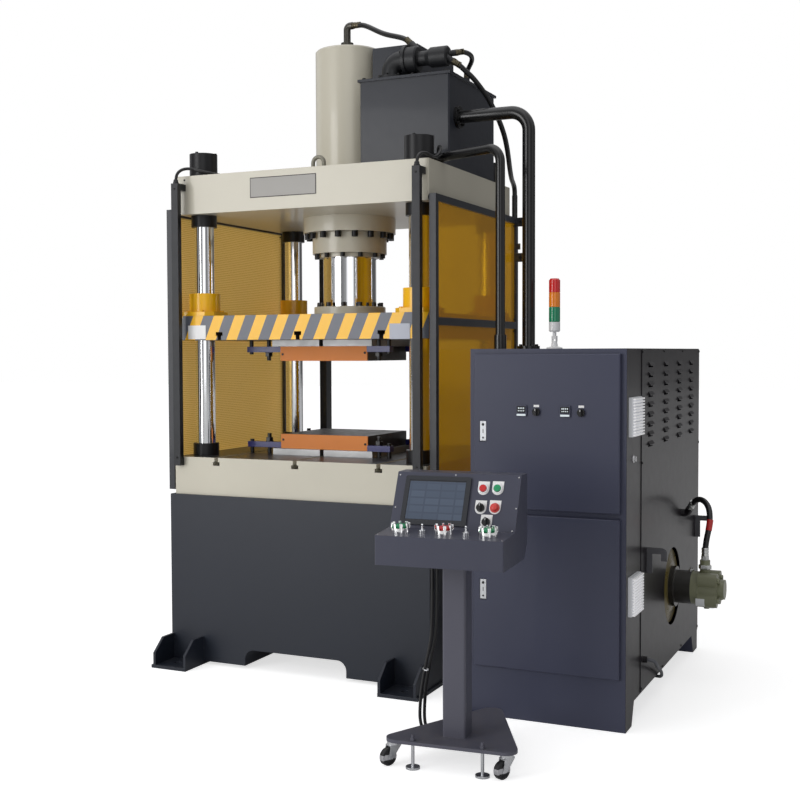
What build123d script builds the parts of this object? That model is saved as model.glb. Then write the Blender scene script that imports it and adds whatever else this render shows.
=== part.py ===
from build123d import *
import os
from math import cos, hypot, pi, radians, sin, tan

os.makedirs("parts", exist_ok=True)

# A hydraulic press of four columns with heated plates, its cabinet and its console.
# X runs right along the front, Y to the back, Z up; the origin is on the floor at the press axis.

# Plates of the press frame
frame_half_x = 640
beam_half_y = 520
table_overhang = 35
table_half_y = beam_half_y + table_overhang

# Base and feet
foot_plate = 15
base_step_x = 21
base_step_y = 13
base_half_x = frame_half_x + base_step_x
base_half_y = table_half_y + base_step_y
base_top = 790
pocket_half_x = 260
pocket_top = 90
pocket_round = 45
foot_step = 9
foot_wide = 186
foot_outer_x = base_half_x + foot_step
foot_inner_x = foot_outer_x - foot_wide
foot_under = 150
foot_out = 152
foot_reach = base_half_y + foot_out
gusset = 12
gusset_nose_long = 70
gusset_flat_y = foot_reach - gusset_nose_long
gusset_top = 130
gusset_nose = 70
anchor_inset = 75
anchor_x = (foot_inner_x + foot_outer_x) / 2
anchor_y = foot_reach - anchor_inset
anchor_hole = 34

# Columns, table, slide and crown beam
table_top = 965
beam_bottom = 2094
beam_thick = 178
beam_top = beam_bottom + beam_thick
column_inset_x = 85
column_inset_y = 95
column_x = frame_half_x - column_inset_x
column_y = beam_half_y - column_inset_y
column_d = 92
column_over_beam = 104
column_top = beam_top + column_over_beam
slide_bottom = 1508
slide_top = 1621
hole_fit = 0.2
running_fit = 0.05

# T-slots
slot_inset = 140
slot_x = [slot_inset - column_x, 0, column_x - slot_inset]
slot_neck = 20
slot_neck_depth = 20
slot_head = 36
slot_head_depth = 17

# Column nuts and collars
top_nut_d = 130
top_nut_high = 110
nut_slit = 6
nut_screw_d = 14
nut_screw_high = 6
under_nut_d = 120
under_nut_high = 54
collar_d = 121
collar_high = 57

# Guide bushings
sleeve_d = 145
sleeve_high = 87
bush_flange = 180
bush_flange_thick = 20
bush_corner = 33
spigot_d = 120
spigot_short = 4
bush_screw_d = 20
bush_screw_high = 7
bush_screw_ring = 80.5

# Cylinder, gland and ram
barrel_d = 320
barrel_over_beam = 624
barrel_top = beam_top + barrel_over_beam
barrel_wall = 20
barrel_cap = 36
barrel_edge = 8
cylinder_flange_lip = 63.5
cylinder_flange_d = barrel_d + 2 * cylinder_flange_lip
cylinder_flange_thick = 73
gland_lip = 20
gland_d = barrel_d + 2 * gland_lip
gland_thick = 98
ram_inset = 31
ram_d = barrel_d - 2 * ram_inset
wiper_ring_lip = 18.5
wiper_ring_d = ram_d + 2 * wiper_ring_lip
wiper_ring_thick = 18
ram_flange_lip = 44.5
ram_flange_d = ram_d + 2 * ram_flange_lip
ram_flange_thick = 48
piston_high = 60
piston_drop = 256
piston_top = barrel_top - piston_drop
flange_screw_out = 43
flange_screw_circle = barrel_d + 2 * flange_screw_out
gland_screw_out = 34.5
gland_screw_circle = ram_d + 2 * gland_screw_out
ram_screw_out = 24
ram_screw_circle = ram_d + 2 * ram_screw_out
flange_screw_d = 30
flange_screw_high = 28
small_screw_d = 22
small_screw_high = 20
socket_share = 0.55
elbow_base_d = 60
elbow_base_high = 40
elbow_d = 34
elbow_rise = 121
elbow_z = barrel_top + elbow_rise
elbow_y = -16
elbow_reach = 30

# Spacers, hot plates, insulation and clamps
spacer_half_x = 262
spacer_front = -300
spacer_back = 190
spacer_thick = 30
spacer_gap = 20
hot_half_x = 229
hot_front = -272
hot_back = 158
hot_thick = 68
board_thick = 8
clamp_bar_thick = 27
clamp_bar_wide = 40
clamp_reach = 26
left_bar_long = 190
right_bar_long = 116
stud_d = 20
stud_proud = 20
nut_across = 32
nut_high = 16
washer_d = 38
washer_thick = 4
left_clamp_y = -240
right_clamp_y = -280
rear_clamp_y = 150
clamp_heel_inset = 13

# Side guards
guard_gap = 13
guard_tube = 30
guard_overhang = 25
guard_front = -beam_half_y - guard_overhang
guard_back = beam_half_y
guard_lap_low = 18
guard_lap_high = 24
guard_bottom = base_top + guard_lap_low
guard_top = beam_bottom + guard_lap_high
guard_rail_bottom = 1564
guard_rail_top = 1598
guard_spacer_d = 24
sheet_thick = 5
lug_high = 44
lug_reach = 40
lug_thick = 8
latch_high = 30

# Light curtains and rear cable duct
curtain_inset = 31
curtain_x = frame_half_x - curtain_inset
curtain_wide = 36
curtain_deep = 27
curtain_gap = 5
curtain_front = -table_half_y - curtain_gap - curtain_deep
curtain_lap = 40
curtain_bottom = table_top - curtain_lap
curtain_top = beam_top - curtain_lap
curtain_bracket_high = 30
duct_x = -449
duct_wide = 40
duct_deep = 60
duct_bottom = 830
duct_drop = 72
duct_top = beam_top - duct_drop

# Lifting eye on the crown beam
eye_x = 90
eye_inset = 40
eye_y = eye_inset - beam_half_y
eye_rod_d = 18
eye_mean_r = 27
eye_rise = 20

# Oil tank and prefill valve
tank_gap = 10
tank_left = barrel_d / 2 + tank_gap
tank_inset = 26
tank_right = frame_half_x - tank_inset
tank_front = -225
tank_back_inset = 161
tank_back = beam_half_y - tank_back_inset
tank_high = 430
tank_top = beam_top + tank_high
tank_cover_thick = 12
tank_cover_lip = 8
riser_right = 400
riser_front = -88
riser_high = 174
riser_top = tank_top + riser_high
valve_y = -160
valve_over_tank = 82
valve_z = tank_top + valve_over_tank
valve_elbow_x = 302
valve_elbow_d = 90
valve_bend = 52
valve_elbow_flange_d = 128
valve_elbow_flange_thick = 14
valve_flange_x = 372
valve_flange_d = 132
valve_body_x = 387
valve_body_d = 118
valve_neck_x = 440
valve_neck_d = 66
valve_cap_x = 494
valve_cap_end = 586
valve_cap_d = 91
top_fitting_at = (425, -150, valve_z + 46)
top_fitting_along = (-0.7, 0.2, 0.68)
top_fitting_long = 46
fitting_d = 34
cap_fitting_d = 28
long_fitting_at = (575, -168, valve_z - 6)
long_fitting_along = (0.8, 0.3, -0.52)
short_fitting_at = (575, -148, valve_z + 12)
short_fitting_along = (0.85, 0.5, 0.16)
cap_fitting_long = 38
cover_fitting_x = 602
cover_fitting_y = 22
cover_fitting_high = 18

# Rigid pipes
tank_pipe_d = 57
tank_pipe_y = -124
tank_pipe_drop = 190
tank_pipe_z = tank_top - tank_pipe_drop
tank_pipe_x = 952.5
tank_pipe_bend = 85
pipe_flange_d = 100
pipe_flange_thick = 14
cable_pipe_d = 40
cable_pipe_collar_d = 52
cable_pipe_collar_high = 60
cable_pipe_x = 950
cable_pipe_y = -490
cable_pipe_rise = 25
cable_pipe_z = beam_top + cable_pipe_rise
cable_pipe_bend = 60
cable_pipe_inset = 36
cable_pipe_start = (frame_half_x - cable_pipe_inset, -330)
cable_pipe_knee = (cable_pipe_start[0] + 86, -388)
cable_pipe_knee_bend = 160
rear_pipe_d = 28
rear_pipe_out_x = 16
rear_pipe_out_y = 26
rear_pipe_drop = 36
rear_pipe_x = frame_half_x + rear_pipe_out_x
rear_pipe_y = beam_half_y + rear_pipe_out_y
rear_pipe_top = beam_top - rear_pipe_drop

# Electric cabinet and power unit
cabinet_left = 927
cabinet_right = 1555
cabinet_front = -774
cabinet_back = 662
cabinet_top = 1461
cabinet_wall = 4
plinth_top = 183
skirt_z = 90
front_foot_back = -678
front_foot_slope = 38
rear_foot_front = 563
rear_foot_slope = 43
shelf_z = 825
shelf_thick = 8
door_thick = 17.5
door_gap = 0.5
door_left = 947
door_right = 1533
upper_door_z = (836, 1441)
lower_door_z = (203, 814)
doorway_lip = 16
door_round = 5
handle_x = 986.5
handle_wide = 25
handle_long = 79
handle_thick = 8
handle_play = 1.5
upper_handle_z = 1098
lower_handle_z = 471
controller_x = [1146, 1321]
controller_z = 1221
controller_size = 44
controller_proud = 6
switch_x = [1206, 1384]
switch_z = 1217
switch_d = 30
panel_front = -540
panel_thick = 3
panel_edge = 4
louvre_y = [-390, -98, 184, 455]
louvre_top_z = 1408
louvre_pitch = 40
louvre_rows = 9
louvre_long = 80
louvre_high = 16
louvre_lip = 3
louvre_proud = 9
louvre_slot = 7
pump_y = 60
pump_z = 415
pump_opening_d = 340
hook_y = [-446, 580]
hook_bottom = 559
hook_high = 103
hook_reach = 82
hook_thick = 8
hook_bar = 24
hook_nose = 52
vent_size = 150
vent_thick = 20
vent_y = -670
vent_z = [1200, 515]
vent_slots = 7
vent_slot_high = 7
vent_slot_pitch = 18
vent_slot_share = 0.82
board_y = -470
board_inset = 30
gear_row_low = 90
gear_row_pitch = 180
gear_pitch = 72
gear_wide = 60
gear_high = 84
gear_deep = 72
wire_duct_half = 260
wire_duct_deep = 50
wire_duct_high = 40
motor_left = 1050
motor_d = 290
motor_end = 1470
motor_flange_d = 316
bell_d = 180
motor_foot_wide = 200
pump_end = 1785
pump_body_d = 144
pump_flange_lip = 16
pump_flange_d = pump_body_d + 2 * pump_flange_lip
pump_flange_thick = 22
pump_lobe_r = 30
pump_lobe_inset = 28
pump_lobe_offset = pump_body_d / 2 - pump_lobe_inset
pump_port_d = 44
pump_port_rise = 52
pump_port_top = pump_z + pump_body_d / 2 + pump_port_rise
pump_port_x = 1699
gland_hose_y = 254
gland_hose_z = 715
gland_hose_d = 34
gland_hose_long = 26
gland_elbow_tip = (14, -12, 24)
gland_elbow_bend = 18
side_gland_y = -500
side_gland_z = 220
side_gland_d = 26
side_gland_long = 18
tower_x = 1080
tower_y = -150
tower_d = 49
tower_hinge_z = 1512
tower_light_bottom = 1536
tower_light_top = 1771
tower_base_high = 44
tower_seam_deep = 1.5
tower_foot_d = 70
tower_stalk_d = 22

# Console, in its own turned frame
console_origin = (1086.3, -1318)
console_turn = 4.5
stand_bottom = 86
stand_top = 98
stand_tips = [(-262, -134), (262, -134), (46, 402)]
stand_round = 42
post_side = 85
head_half_x = 227
head_bottom = 725
head_profile = [(-218, 725), (-218, 827), (-68, 835), (23, 1022), (105, 1022), (105, 790), (60, 725)]
head_round = 4
head_plate = 150
head_plate_thick = 10
screen_x = (-191, 51)
screen_s = (11, 192)
screen_proud = 7
screen_glass_inset = 16
screen_recess = 1.5
ring_d = 34
ring_bore = 26.4
ring_high = 8
cap_d = 25.8
cap_low = 4.5
cap_high = 13
red_button_at = (97, 153)
green_button_at = (148, 155)
selector_upper_at = (95, 83)
lamp_at = (146, 85)
selector_lower_at = (121, 32)
selector_d = 29
selector_disc = 9
grip_high = 20
grip_wide = 9
play = 0.3
desk_y = -150
mushroom_x = {"start_button_left": -156, "stop_button": 0, "start_button_right": 156}
lever_x = {"lever_switch_left": -78, "lever_switch_right": 78}
guard_ring_d = 66
guard_ring_bore = 52
guard_ring_high = 34
guard_notch_wide = 15
guard_notch_deep = 16
stem_d = 16
stem_collar_d = 28
stem_collar_high = 12
mushroom_d = 42
mushroom_low = 17
mushroom_high = 31
button_travel = 5
lever_collar_d = 26
lever_ball_d = 14
lever_foot_d = 5
lever_long = 34
lever_rod_d = 8
caster_at = [(-206, -96), (206, -96), (40, 322)]
caster_heading = [-122, -120, 20]
caster_trail = 24
wheel_d = 63
wheel_wide = 22
wheel_side_gap = 1.5
cheek_thick = 3
fork_crown_z = 72
fork_head_d = 46
axle_d = 8
leveller_at = [(126, -118), (-126, -118)]
leveller_pad_d = 50
leveller_pad_high = 8
leveller_rod_d = 12
leveller_rise = 22
leveller_nut_d = 20
leveller_nut_high = 10

# Hoses and cables
top_hose_d = 24
long_hose_d = 24
short_hose_d = 22
pump_hose_d = 26
curtain_cable_d = 14
side_cable_d = 14
console_cable_d = 12

# Worked out from the sizes above
column_points = [(x, y) for x in (-column_x, column_x) for y in (-column_y, column_y)]
column_r = column_d / 2
ram_r = ram_d / 2
barrel_r = barrel_d / 2
bore_r = barrel_r - barrel_wall
cylinder_flange_bottom = beam_bottom - cylinder_flange_thick
gland_bottom = cylinder_flange_bottom - gland_thick
lower_spacer_top = table_top + spacer_thick
lower_hot_top = lower_spacer_top + hot_thick
upper_spacer_bottom = slide_bottom - spacer_thick
upper_hot_bottom = upper_spacer_bottom - hot_thick
guard_inner = frame_half_x + guard_gap
door_front = cabinet_front - door_gap - door_thick
panel_face = cabinet_right + panel_thick
console = Plane(
    origin=(console_origin[0], console_origin[1], 0),
    x_dir=(cos(radians(console_turn)), sin(radians(console_turn)), 0),
    z_dir=(0, 0, 1),
)
desk_front, desk_back, panel_high = head_profile[1], head_profile[2], head_profile[3]


def fitting_end(at, along, length):
    """The mouth of a hose fitting that starts at a point and runs along a direction."""
    return tuple(Vector(at) + Vector(along).normalized() * length)


def from_console(points):
    """Points of the console's own frame as points of the press frame."""
    return [tuple(console.from_local_coords(Vector(*point))) for point in points]


def console_plane(y, z, along):
    """A face plane across the console head through (y, z), with its up direction along (y, z)."""
    length = hypot(*along)
    up = (along[0] / length, along[1] / length)
    origin = console.from_local_coords(Vector(0, y, z))
    normal = console.from_local_coords(Vector(0, -up[1] + y, up[0] + z)) - origin
    return Plane(origin=origin, x_dir=console.x_dir, z_dir=normal)


panel_plane = console_plane(*desk_back, (panel_high[0] - desk_back[0], panel_high[1] - desk_back[1]))
desk_tilt = (desk_back[1] - desk_front[1]) / (desk_back[0] - desk_front[0])
desk_plane = console_plane(desk_y, desk_front[1] + (desk_y - desk_front[0]) * desk_tilt, (1, desk_tilt))


def box_between(x, y, z, mode=Mode.ADD):
    """A flat-sided piece between the pairs of limits x, y and z."""
    with BuildSketch(Plane.XY.offset(z[0])) as outline:
        with Locations(((x[0] + x[1]) / 2, (y[0] + y[1]) / 2)):
            Rectangle(x[1] - x[0], y[1] - y[0])
    extrude(outline.sketch, amount=z[1] - z[0], mode=mode)


def turned(profile, at=(0, 0, 0), along=(0, 0, 1), mode=Mode.ADD):
    """A turned piece: its half profile of (radius, distance) points about an axis through at."""
    axis = Vector(along).normalized()
    radial = Vector(0, 1, 0) if abs(axis.X) > 0.9 else Vector(1, 0, 0)
    radial = (radial - axis * radial.dot(axis)).normalized()
    with BuildSketch(Plane(origin=at, x_dir=radial, z_dir=radial.cross(axis))) as half:
        with BuildLine():
            Polyline(*profile, close=True)
        make_face()
    revolve(half.sketch, axis=Axis(at, axis), mode=mode)


def rod(at, along, radius, length, mode=Mode.ADD):
    """A round bar or hole of the given length from the point at, along a direction."""
    with BuildSketch(Plane(origin=at, z_dir=along)) as section:
        Circle(radius)
    extrude(section.sketch, amount=length, mode=mode)


def profile_prism(plane, points, amount, both=False, mode=Mode.ADD):
    """A prism on a plane from the corner points of its outline."""
    with BuildSketch(plane) as outline:
        with BuildLine():
            Polyline(*points, close=True)
        make_face()
    extrude(outline.sketch, amount=amount, both=both, mode=mode)


def cut_t_slots(face_z, opens, half_y):
    """Cut the T-slots along Y into the face at face_z; opens is 1 for up and -1 for down."""
    with BuildSketch(Plane.XZ) as slots:
        with Locations([(x, face_z - opens * slot_neck_depth / 2) for x in slot_x]):
            Rectangle(slot_neck, slot_neck_depth)
        with Locations([(x, face_z - opens * (slot_neck_depth + slot_head_depth / 2)) for x in slot_x]):
            Rectangle(slot_head, slot_head_depth)
    extrude(slots.sketch, amount=half_y, both=True, mode=Mode.SUBTRACT)


def cap_screws(plane, circle_d, count, head_d, head_high):
    """Socket cap screw heads on a circle, standing out of the plane."""
    with BuildSketch(plane) as heads:
        with PolarLocations(circle_d / 2, count, start_angle=180 / count):
            Circle(head_d / 2)
            RegularPolygon(head_d * socket_share / 2, 6, mode=Mode.SUBTRACT)
    extrude(heads.sketch, amount=head_high)


def bend_radii(points):
    """The widest bend at each corner of a route: 0.45 of its shorter run over the tangent of half the turn."""
    runs = [Vector(b) - Vector(a) for a, b in zip(points, points[1:])]
    radii = []
    for before, after in zip(runs, runs[1:]):
        turn = radians(before.get_angle(after))
        radii.append(0.45 * min(before.length, after.length) / tan(turn / 2))
    return radii


def tube(name, points, diameter, bends=None):
    """A hose, cable or pipe along its route, with its bends' radii and its volume printed as a check."""
    radii = bends or bend_radii(points)
    with BuildLine() as route:
        FilletPolyline(*points, radius=radii)
    start = Vector(points[0])
    with BuildSketch(Plane(origin=start, z_dir=Vector(points[1]) - start)) as section:
        Circle(diameter / 2)
    body = sweep(section.sketch, path=route.line)
    length = sum(edge.length for edge in route.line.edges())
    share = body.volume / (pi * diameter ** 2 / 4 * length)
    least = min(radii) / diameter
    print(f"{name}: length {length:.0f} mm, tightest bend {least:.1f} diameters, volume share {share:.4f}")


def finish(part, name):
    """Label a finished piece and write its file."""
    part.label = name
    export_step(part, f"parts/{name}.step")


# Base weldment with its four feet
with BuildPart() as base_frame:
    box_between((-base_half_x, base_half_x), (-base_half_y, base_half_y), (foot_plate, base_top))
    with BuildSketch(Plane.XZ) as pocket:
        with Locations((0, pocket_top / 2)):
            Rectangle(2 * pocket_half_x, pocket_top)
        fillet(pocket.vertices().group_by(Axis.Y)[-1], pocket_round)
    extrude(amount=base_half_y, both=True, mode=Mode.SUBTRACT)
    for side in (-1, 1):
        for end in (-1, 1):
            x = sorted((side * foot_inner_x, side * foot_outer_x))
            y = sorted((end * (base_half_y - foot_under), end * foot_reach))
            box_between(x, y, (0, foot_plate))
            gusset_profile = [
                (end * base_half_y, foot_plate),
                (end * base_half_y, gusset_top),
                (end * gusset_flat_y, gusset_top),
                (end * (foot_reach - 2), gusset_nose),
                (end * (foot_reach - 2), foot_plate),
            ]
            for gusset_x in (foot_inner_x + gusset, base_half_x):
                left = side * gusset_x if side < 0 else gusset_x - gusset
                profile_prism(Plane.YZ.offset(left), gusset_profile, gusset)
            rod((side * anchor_x, end * anchor_y, 0), (0, 0, 1), anchor_hole / 2, foot_plate, Mode.SUBTRACT)
finish(base_frame.part, "base_frame")

# Table plate
with BuildPart() as table:
    box_between((-frame_half_x, frame_half_x), (-table_half_y, table_half_y), (base_top, table_top))
    cut_t_slots(table_top, 1, table_half_y)
    for x, y in column_points:
        rod((x, y, base_top), (0, 0, 1), column_r + hole_fit, table_top - base_top, Mode.SUBTRACT)
finish(table.part, "table")

# Columns
with BuildPart() as columns:
    with BuildSketch(Plane.XY.offset(base_top)):
        with Locations(column_points):
            Circle(column_r)
    extrude(amount=column_top - base_top)
    chamfer(columns.edges().group_by(Axis.Z)[-1], 4)
finish(columns.part, "columns")

# Split nuts above the beam, round nuts below it and collars on the table
with BuildPart() as column_nuts:
    for x, y in column_points:
        outward = 1 if x > 0 else -1
        for low, diameter, high in (
            (beam_top, top_nut_d, top_nut_high),
            (beam_bottom - under_nut_high, under_nut_d, under_nut_high),
            (table_top, collar_d, collar_high),
        ):
            with BuildSketch(Plane.XY.offset(low)) as ring:
                with Locations((x, y)):
                    Circle(diameter / 2)
                    Circle(column_r + hole_fit, mode=Mode.SUBTRACT)
                with Locations((x + outward * diameter / 2, y)):
                    Rectangle(diameter - column_d + 10, nut_slit, mode=Mode.SUBTRACT)
            extrude(ring.sketch, amount=high)
        with BuildSketch(Plane.XY.offset(beam_top + top_nut_high)) as screws:
            with Locations((x, y)):
                with PolarLocations((top_nut_d + column_d) / 4, 3, start_angle=-90):
                    Circle(nut_screw_d / 2)
        extrude(screws.sketch, amount=nut_screw_high)
finish(column_nuts.part, "column_nuts")

# Crown beam with its lifting eye
with BuildPart() as crown_beam:
    box_between((-frame_half_x, frame_half_x), (-beam_half_y, beam_half_y), (beam_bottom, beam_top))
    chamfer(crown_beam.edges().filter_by(Axis.Z), 5)
    for x, y in column_points:
        rod((x, y, beam_bottom), (0, 0, 1), column_r + hole_fit, beam_top - beam_bottom, Mode.SUBTRACT)
    rod((0, 0, beam_bottom), (0, 0, 1), barrel_r + hole_fit, beam_top - beam_bottom, Mode.SUBTRACT)
    eye_points = [
        (eye_x - eye_mean_r, eye_y, beam_top),
        (eye_x - eye_mean_r, eye_y, beam_top + eye_rise),
        (eye_x, eye_y, beam_top + eye_rise + eye_mean_r),
        (eye_x + eye_mean_r, eye_y, beam_top + eye_rise),
        (eye_x + eye_mean_r, eye_y, beam_top),
    ]
    with BuildLine() as eye_path:
        Line(eye_points[0], eye_points[1])
        ThreePointArc(*eye_points[1:4])
        Line(eye_points[3], eye_points[4])
    with BuildSketch(Plane(origin=eye_points[0], z_dir=(0, 0, 1))):
        Circle(eye_rod_d / 2)
    sweep(path=eye_path.line)
finish(crown_beam.part, "crown_beam")

# Cylinder with its top fitting
with BuildPart() as cylinder:
    turned([
        (bore_r, cylinder_flange_bottom),
        (cylinder_flange_d / 2, cylinder_flange_bottom),
        (cylinder_flange_d / 2, beam_bottom),
        (barrel_r, beam_bottom),
        (barrel_r, barrel_top - barrel_edge),
        (barrel_r - barrel_edge, barrel_top),
        (0, barrel_top),
        (0, barrel_top - barrel_cap),
        (bore_r, barrel_top - barrel_cap),
    ])
    rod((0, elbow_y, barrel_top), (0, 0, 1), elbow_base_d / 2, elbow_base_high)
    elbow_points = [
        (0, elbow_y, barrel_top + elbow_base_high),
        (0, elbow_y, elbow_z),
        (elbow_reach, elbow_y, elbow_z),
    ]
    tube("cylinder elbow", elbow_points, elbow_d, [elbow_d / 2 + 1])
finish(cylinder.part, "cylinder")

# Gland and its wiper ring under the cylinder flange
with BuildPart() as cylinder_gland:
    with BuildSketch(Plane.XY.offset(gland_bottom)):
        Circle(gland_d / 2)
        Circle(ram_r + running_fit, mode=Mode.SUBTRACT)
    extrude(amount=gland_thick)
    with BuildSketch(Plane.XY.offset(gland_bottom - wiper_ring_thick)):
        Circle(wiper_ring_d / 2)
        Circle(ram_r + running_fit, mode=Mode.SUBTRACT)
    extrude(amount=wiper_ring_thick)
finish(cylinder_gland.part, "cylinder_gland")

# Cap screws of the cylinder flange and the gland
with BuildPart() as cylinder_bolts:
    flange_face = Plane(origin=(0, 0, cylinder_flange_bottom), z_dir=(0, 0, -1))
    cap_screws(flange_face, flange_screw_circle, 16, flange_screw_d, flange_screw_high)
    gland_face = Plane(origin=(0, 0, gland_bottom), z_dir=(0, 0, -1))
    cap_screws(gland_face, gland_screw_circle, 12, small_screw_d, small_screw_high)
finish(cylinder_bolts.part, "cylinder_bolts")

# Ram with its piston
with BuildPart() as ram:
    turned([
        (0, slide_top),
        (ram_r, slide_top),
        (ram_r, piston_top - piston_high),
        (bore_r - running_fit, piston_top - piston_high),
        (bore_r - running_fit, piston_top),
        (0, piston_top),
    ])
finish(ram.part, "ram")

# Ram flange with its cap screws
with BuildPart() as ram_flange:
    with BuildSketch(Plane.XY.offset(slide_top)):
        Circle(ram_flange_d / 2)
        Circle(ram_r + hole_fit, mode=Mode.SUBTRACT)
    extrude(amount=ram_flange_thick)
    chamfer(ram_flange.edges().group_by(Axis.Z)[-1].sort_by(Edge.length)[-1], 3)
    cap_screws(Plane.XY.offset(slide_top + ram_flange_thick), ram_screw_circle, 12, small_screw_d, small_screw_high)
finish(ram_flange.part, "ram_flange")

# Slide plate
with BuildPart() as slide:
    box_between((-frame_half_x, frame_half_x), (-beam_half_y, beam_half_y), (slide_bottom, slide_top))
    cut_t_slots(slide_bottom, -1, beam_half_y)
    for x, y in column_points:
        rod((x, y, slide_bottom), (0, 0, 1), spigot_d / 2 + hole_fit, slide_top - slide_bottom, Mode.SUBTRACT)
finish(slide.part, "slide")

# Guide bushings, each with a square flange on the slide and a sleeve round its column
with BuildPart() as guide_bushings:
    for x, y in column_points:
        with BuildSketch(Plane.XY.offset(slide_top)) as flange:
            with Locations((x, y)):
                Rectangle(bush_flange, bush_flange)
            chamfer(flange.vertices(), bush_corner)
        extrude(flange.sketch, amount=bush_flange_thick)
        flange_top = slide_top + bush_flange_thick
        rod((x, y, flange_top), (0, 0, 1), sleeve_d / 2, sleeve_high)
        rod((x, y, slide_bottom + spigot_short), (0, 0, 1), spigot_d / 2, slide_top - slide_bottom - spigot_short)
        with BuildSketch(Plane.XY.offset(flange_top)) as screws:
            with Locations((x, y)):
                with PolarLocations(bush_screw_ring, 4, start_angle=22):
                    Circle(bush_screw_d / 2)
        extrude(screws.sketch, amount=bush_screw_high)
    for x, y in column_points:
        bush_top = slide_top + bush_flange_thick + sleeve_high
        rod((x, y, slide_bottom), (0, 0, 1), column_r + running_fit, bush_top - slide_bottom, Mode.SUBTRACT)
finish(guide_bushings.part, "guide_bushings")

# Spacer plates, hot plates and insulation boards, below on the table and above on the slide
for level, spacer_z, hot_z in (
    ("lower", (table_top, lower_spacer_top), (lower_spacer_top, lower_hot_top)),
    ("upper", (upper_spacer_bottom, slide_bottom), (upper_hot_bottom, upper_spacer_bottom)),
):
    with BuildPart() as spacers:
        for side in (-1, 1):
            half = sorted((side * spacer_gap / 2, side * spacer_half_x))
            box_between(half, (spacer_front, spacer_back), spacer_z)
    finish(spacers.part, f"{level}_spacers")

    with BuildPart() as hot_plate:
        box_between((-hot_half_x, hot_half_x), (hot_front, hot_back), hot_z)
        chamfer(hot_plate.edges().filter_by(Axis.Z), 2)
    finish(hot_plate.part, f"{level}_hot_plate")

    with BuildPart() as board:
        box_between((-hot_half_x, hot_half_x), (hot_front - board_thick, hot_front), hot_z)
    finish(board.part, f"{level}_insulation")

# Clamps: a bar on the spacer's edge, a stud with its nut and washer, and a heel screw
for level, seat, carrier, up in (
    ("lower", lower_spacer_top, table_top, 1),
    ("upper", upper_spacer_bottom, slide_bottom, -1),
):
    with BuildPart() as clamps:
        for side, y, bar_long in (
            (-1, left_clamp_y, left_bar_long),
            (1, right_clamp_y, right_bar_long),
            (-1, rear_clamp_y, left_bar_long),
            (1, rear_clamp_y, right_bar_long),
        ):
            tip = spacer_half_x - clamp_reach
            bar = sorted((side * tip, side * (tip + bar_long)))
            bar_z = sorted((seat, seat + up * clamp_bar_thick))
            box_between(bar, (y - clamp_bar_wide / 2, y + clamp_bar_wide / 2), bar_z)
            stud_x = side * (tip + min(0.45 * bar_long, 80))
            bar_top = seat + up * clamp_bar_thick
            direction = (0, 0, up)
            rod((stud_x, y, carrier), direction, stud_d / 2, abs(seat - carrier))
            rod((stud_x, y, bar_top), direction, washer_d / 2, washer_thick)
            nut_face = Plane(origin=(stud_x, y, bar_top + up * washer_thick), z_dir=direction)
            with BuildSketch(nut_face) as nut:
                RegularPolygon(nut_across / 2, 6, major_radius=False)
            extrude(nut.sketch, amount=nut_high)
            stud_start = bar_top + up * (washer_thick + nut_high)
            rod((stud_x, y, stud_start), direction, stud_d / 2, stud_proud)
            heel_x = side * (tip + bar_long - clamp_heel_inset)
            rod((heel_x, y, carrier), direction, stud_d / 2, abs(seat - carrier))
            rod((heel_x, y, bar_top), direction, stud_d / 2, stud_proud / 2)
    finish(clamps.part, f"{level}_clamps")

# Side guards: a welded tube frame on each side, held off the plates by spacers
with BuildPart() as guard_frames:
    for side in (-1, 1):
        plane = Plane(origin=(side * guard_inner, 0, 0), x_dir=(0, side, 0), z_dir=(side, 0, 0))
        middle = side * (guard_front + guard_back) / 2
        with BuildSketch(plane) as frame_face:
            with Locations((middle, (guard_bottom + guard_top) / 2)):
                Rectangle(guard_back - guard_front, guard_top - guard_bottom)
            for low, high in (
                (guard_bottom + guard_tube, guard_rail_bottom),
                (guard_rail_top, guard_top - guard_tube),
            ):
                with Locations((middle, (low + high) / 2)):
                    Rectangle(guard_back - guard_front - 2 * guard_tube, high - low, mode=Mode.SUBTRACT)
        extrude(frame_face.sketch, amount=guard_tube)
        for y in (guard_front + guard_tube, guard_back - guard_tube):
            for z in (guard_bottom + guard_tube / 2, beam_bottom + guard_spacer_d / 2):
                rod((side * guard_inner, y, z), (-side, 0, 0), guard_spacer_d / 2, guard_gap)
    guard_outer = guard_inner + guard_tube
    lug_y = (guard_back - guard_tube, guard_back - guard_tube + lug_thick)
    for lug_z in (guard_top - lug_high, guard_top - 5 * lug_high):
        box_between((guard_outer, guard_outer + lug_reach), lug_y, (lug_z, lug_z + lug_high))
    latch_z = guard_top - 3.6 * lug_high
    box_between((guard_outer, guard_outer + lug_reach / 2), lug_y, (latch_z, latch_z + latch_high))
finish(guard_frames.part, "guard_frames")

# Guard sheets in the windows of the frames
with BuildPart() as guard_sheets:
    for side in (-1, 1):
        x = sorted((side * (guard_inner + guard_tube / 2), side * (guard_inner + guard_tube / 2 + sheet_thick)))
        y = (guard_front + guard_tube, guard_back - guard_tube)
        box_between(x, y, (guard_bottom + guard_tube, guard_rail_bottom))
        box_between(x, y, (guard_rail_top, guard_top - guard_tube))
finish(guard_sheets.part, "guard_sheets")

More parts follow.
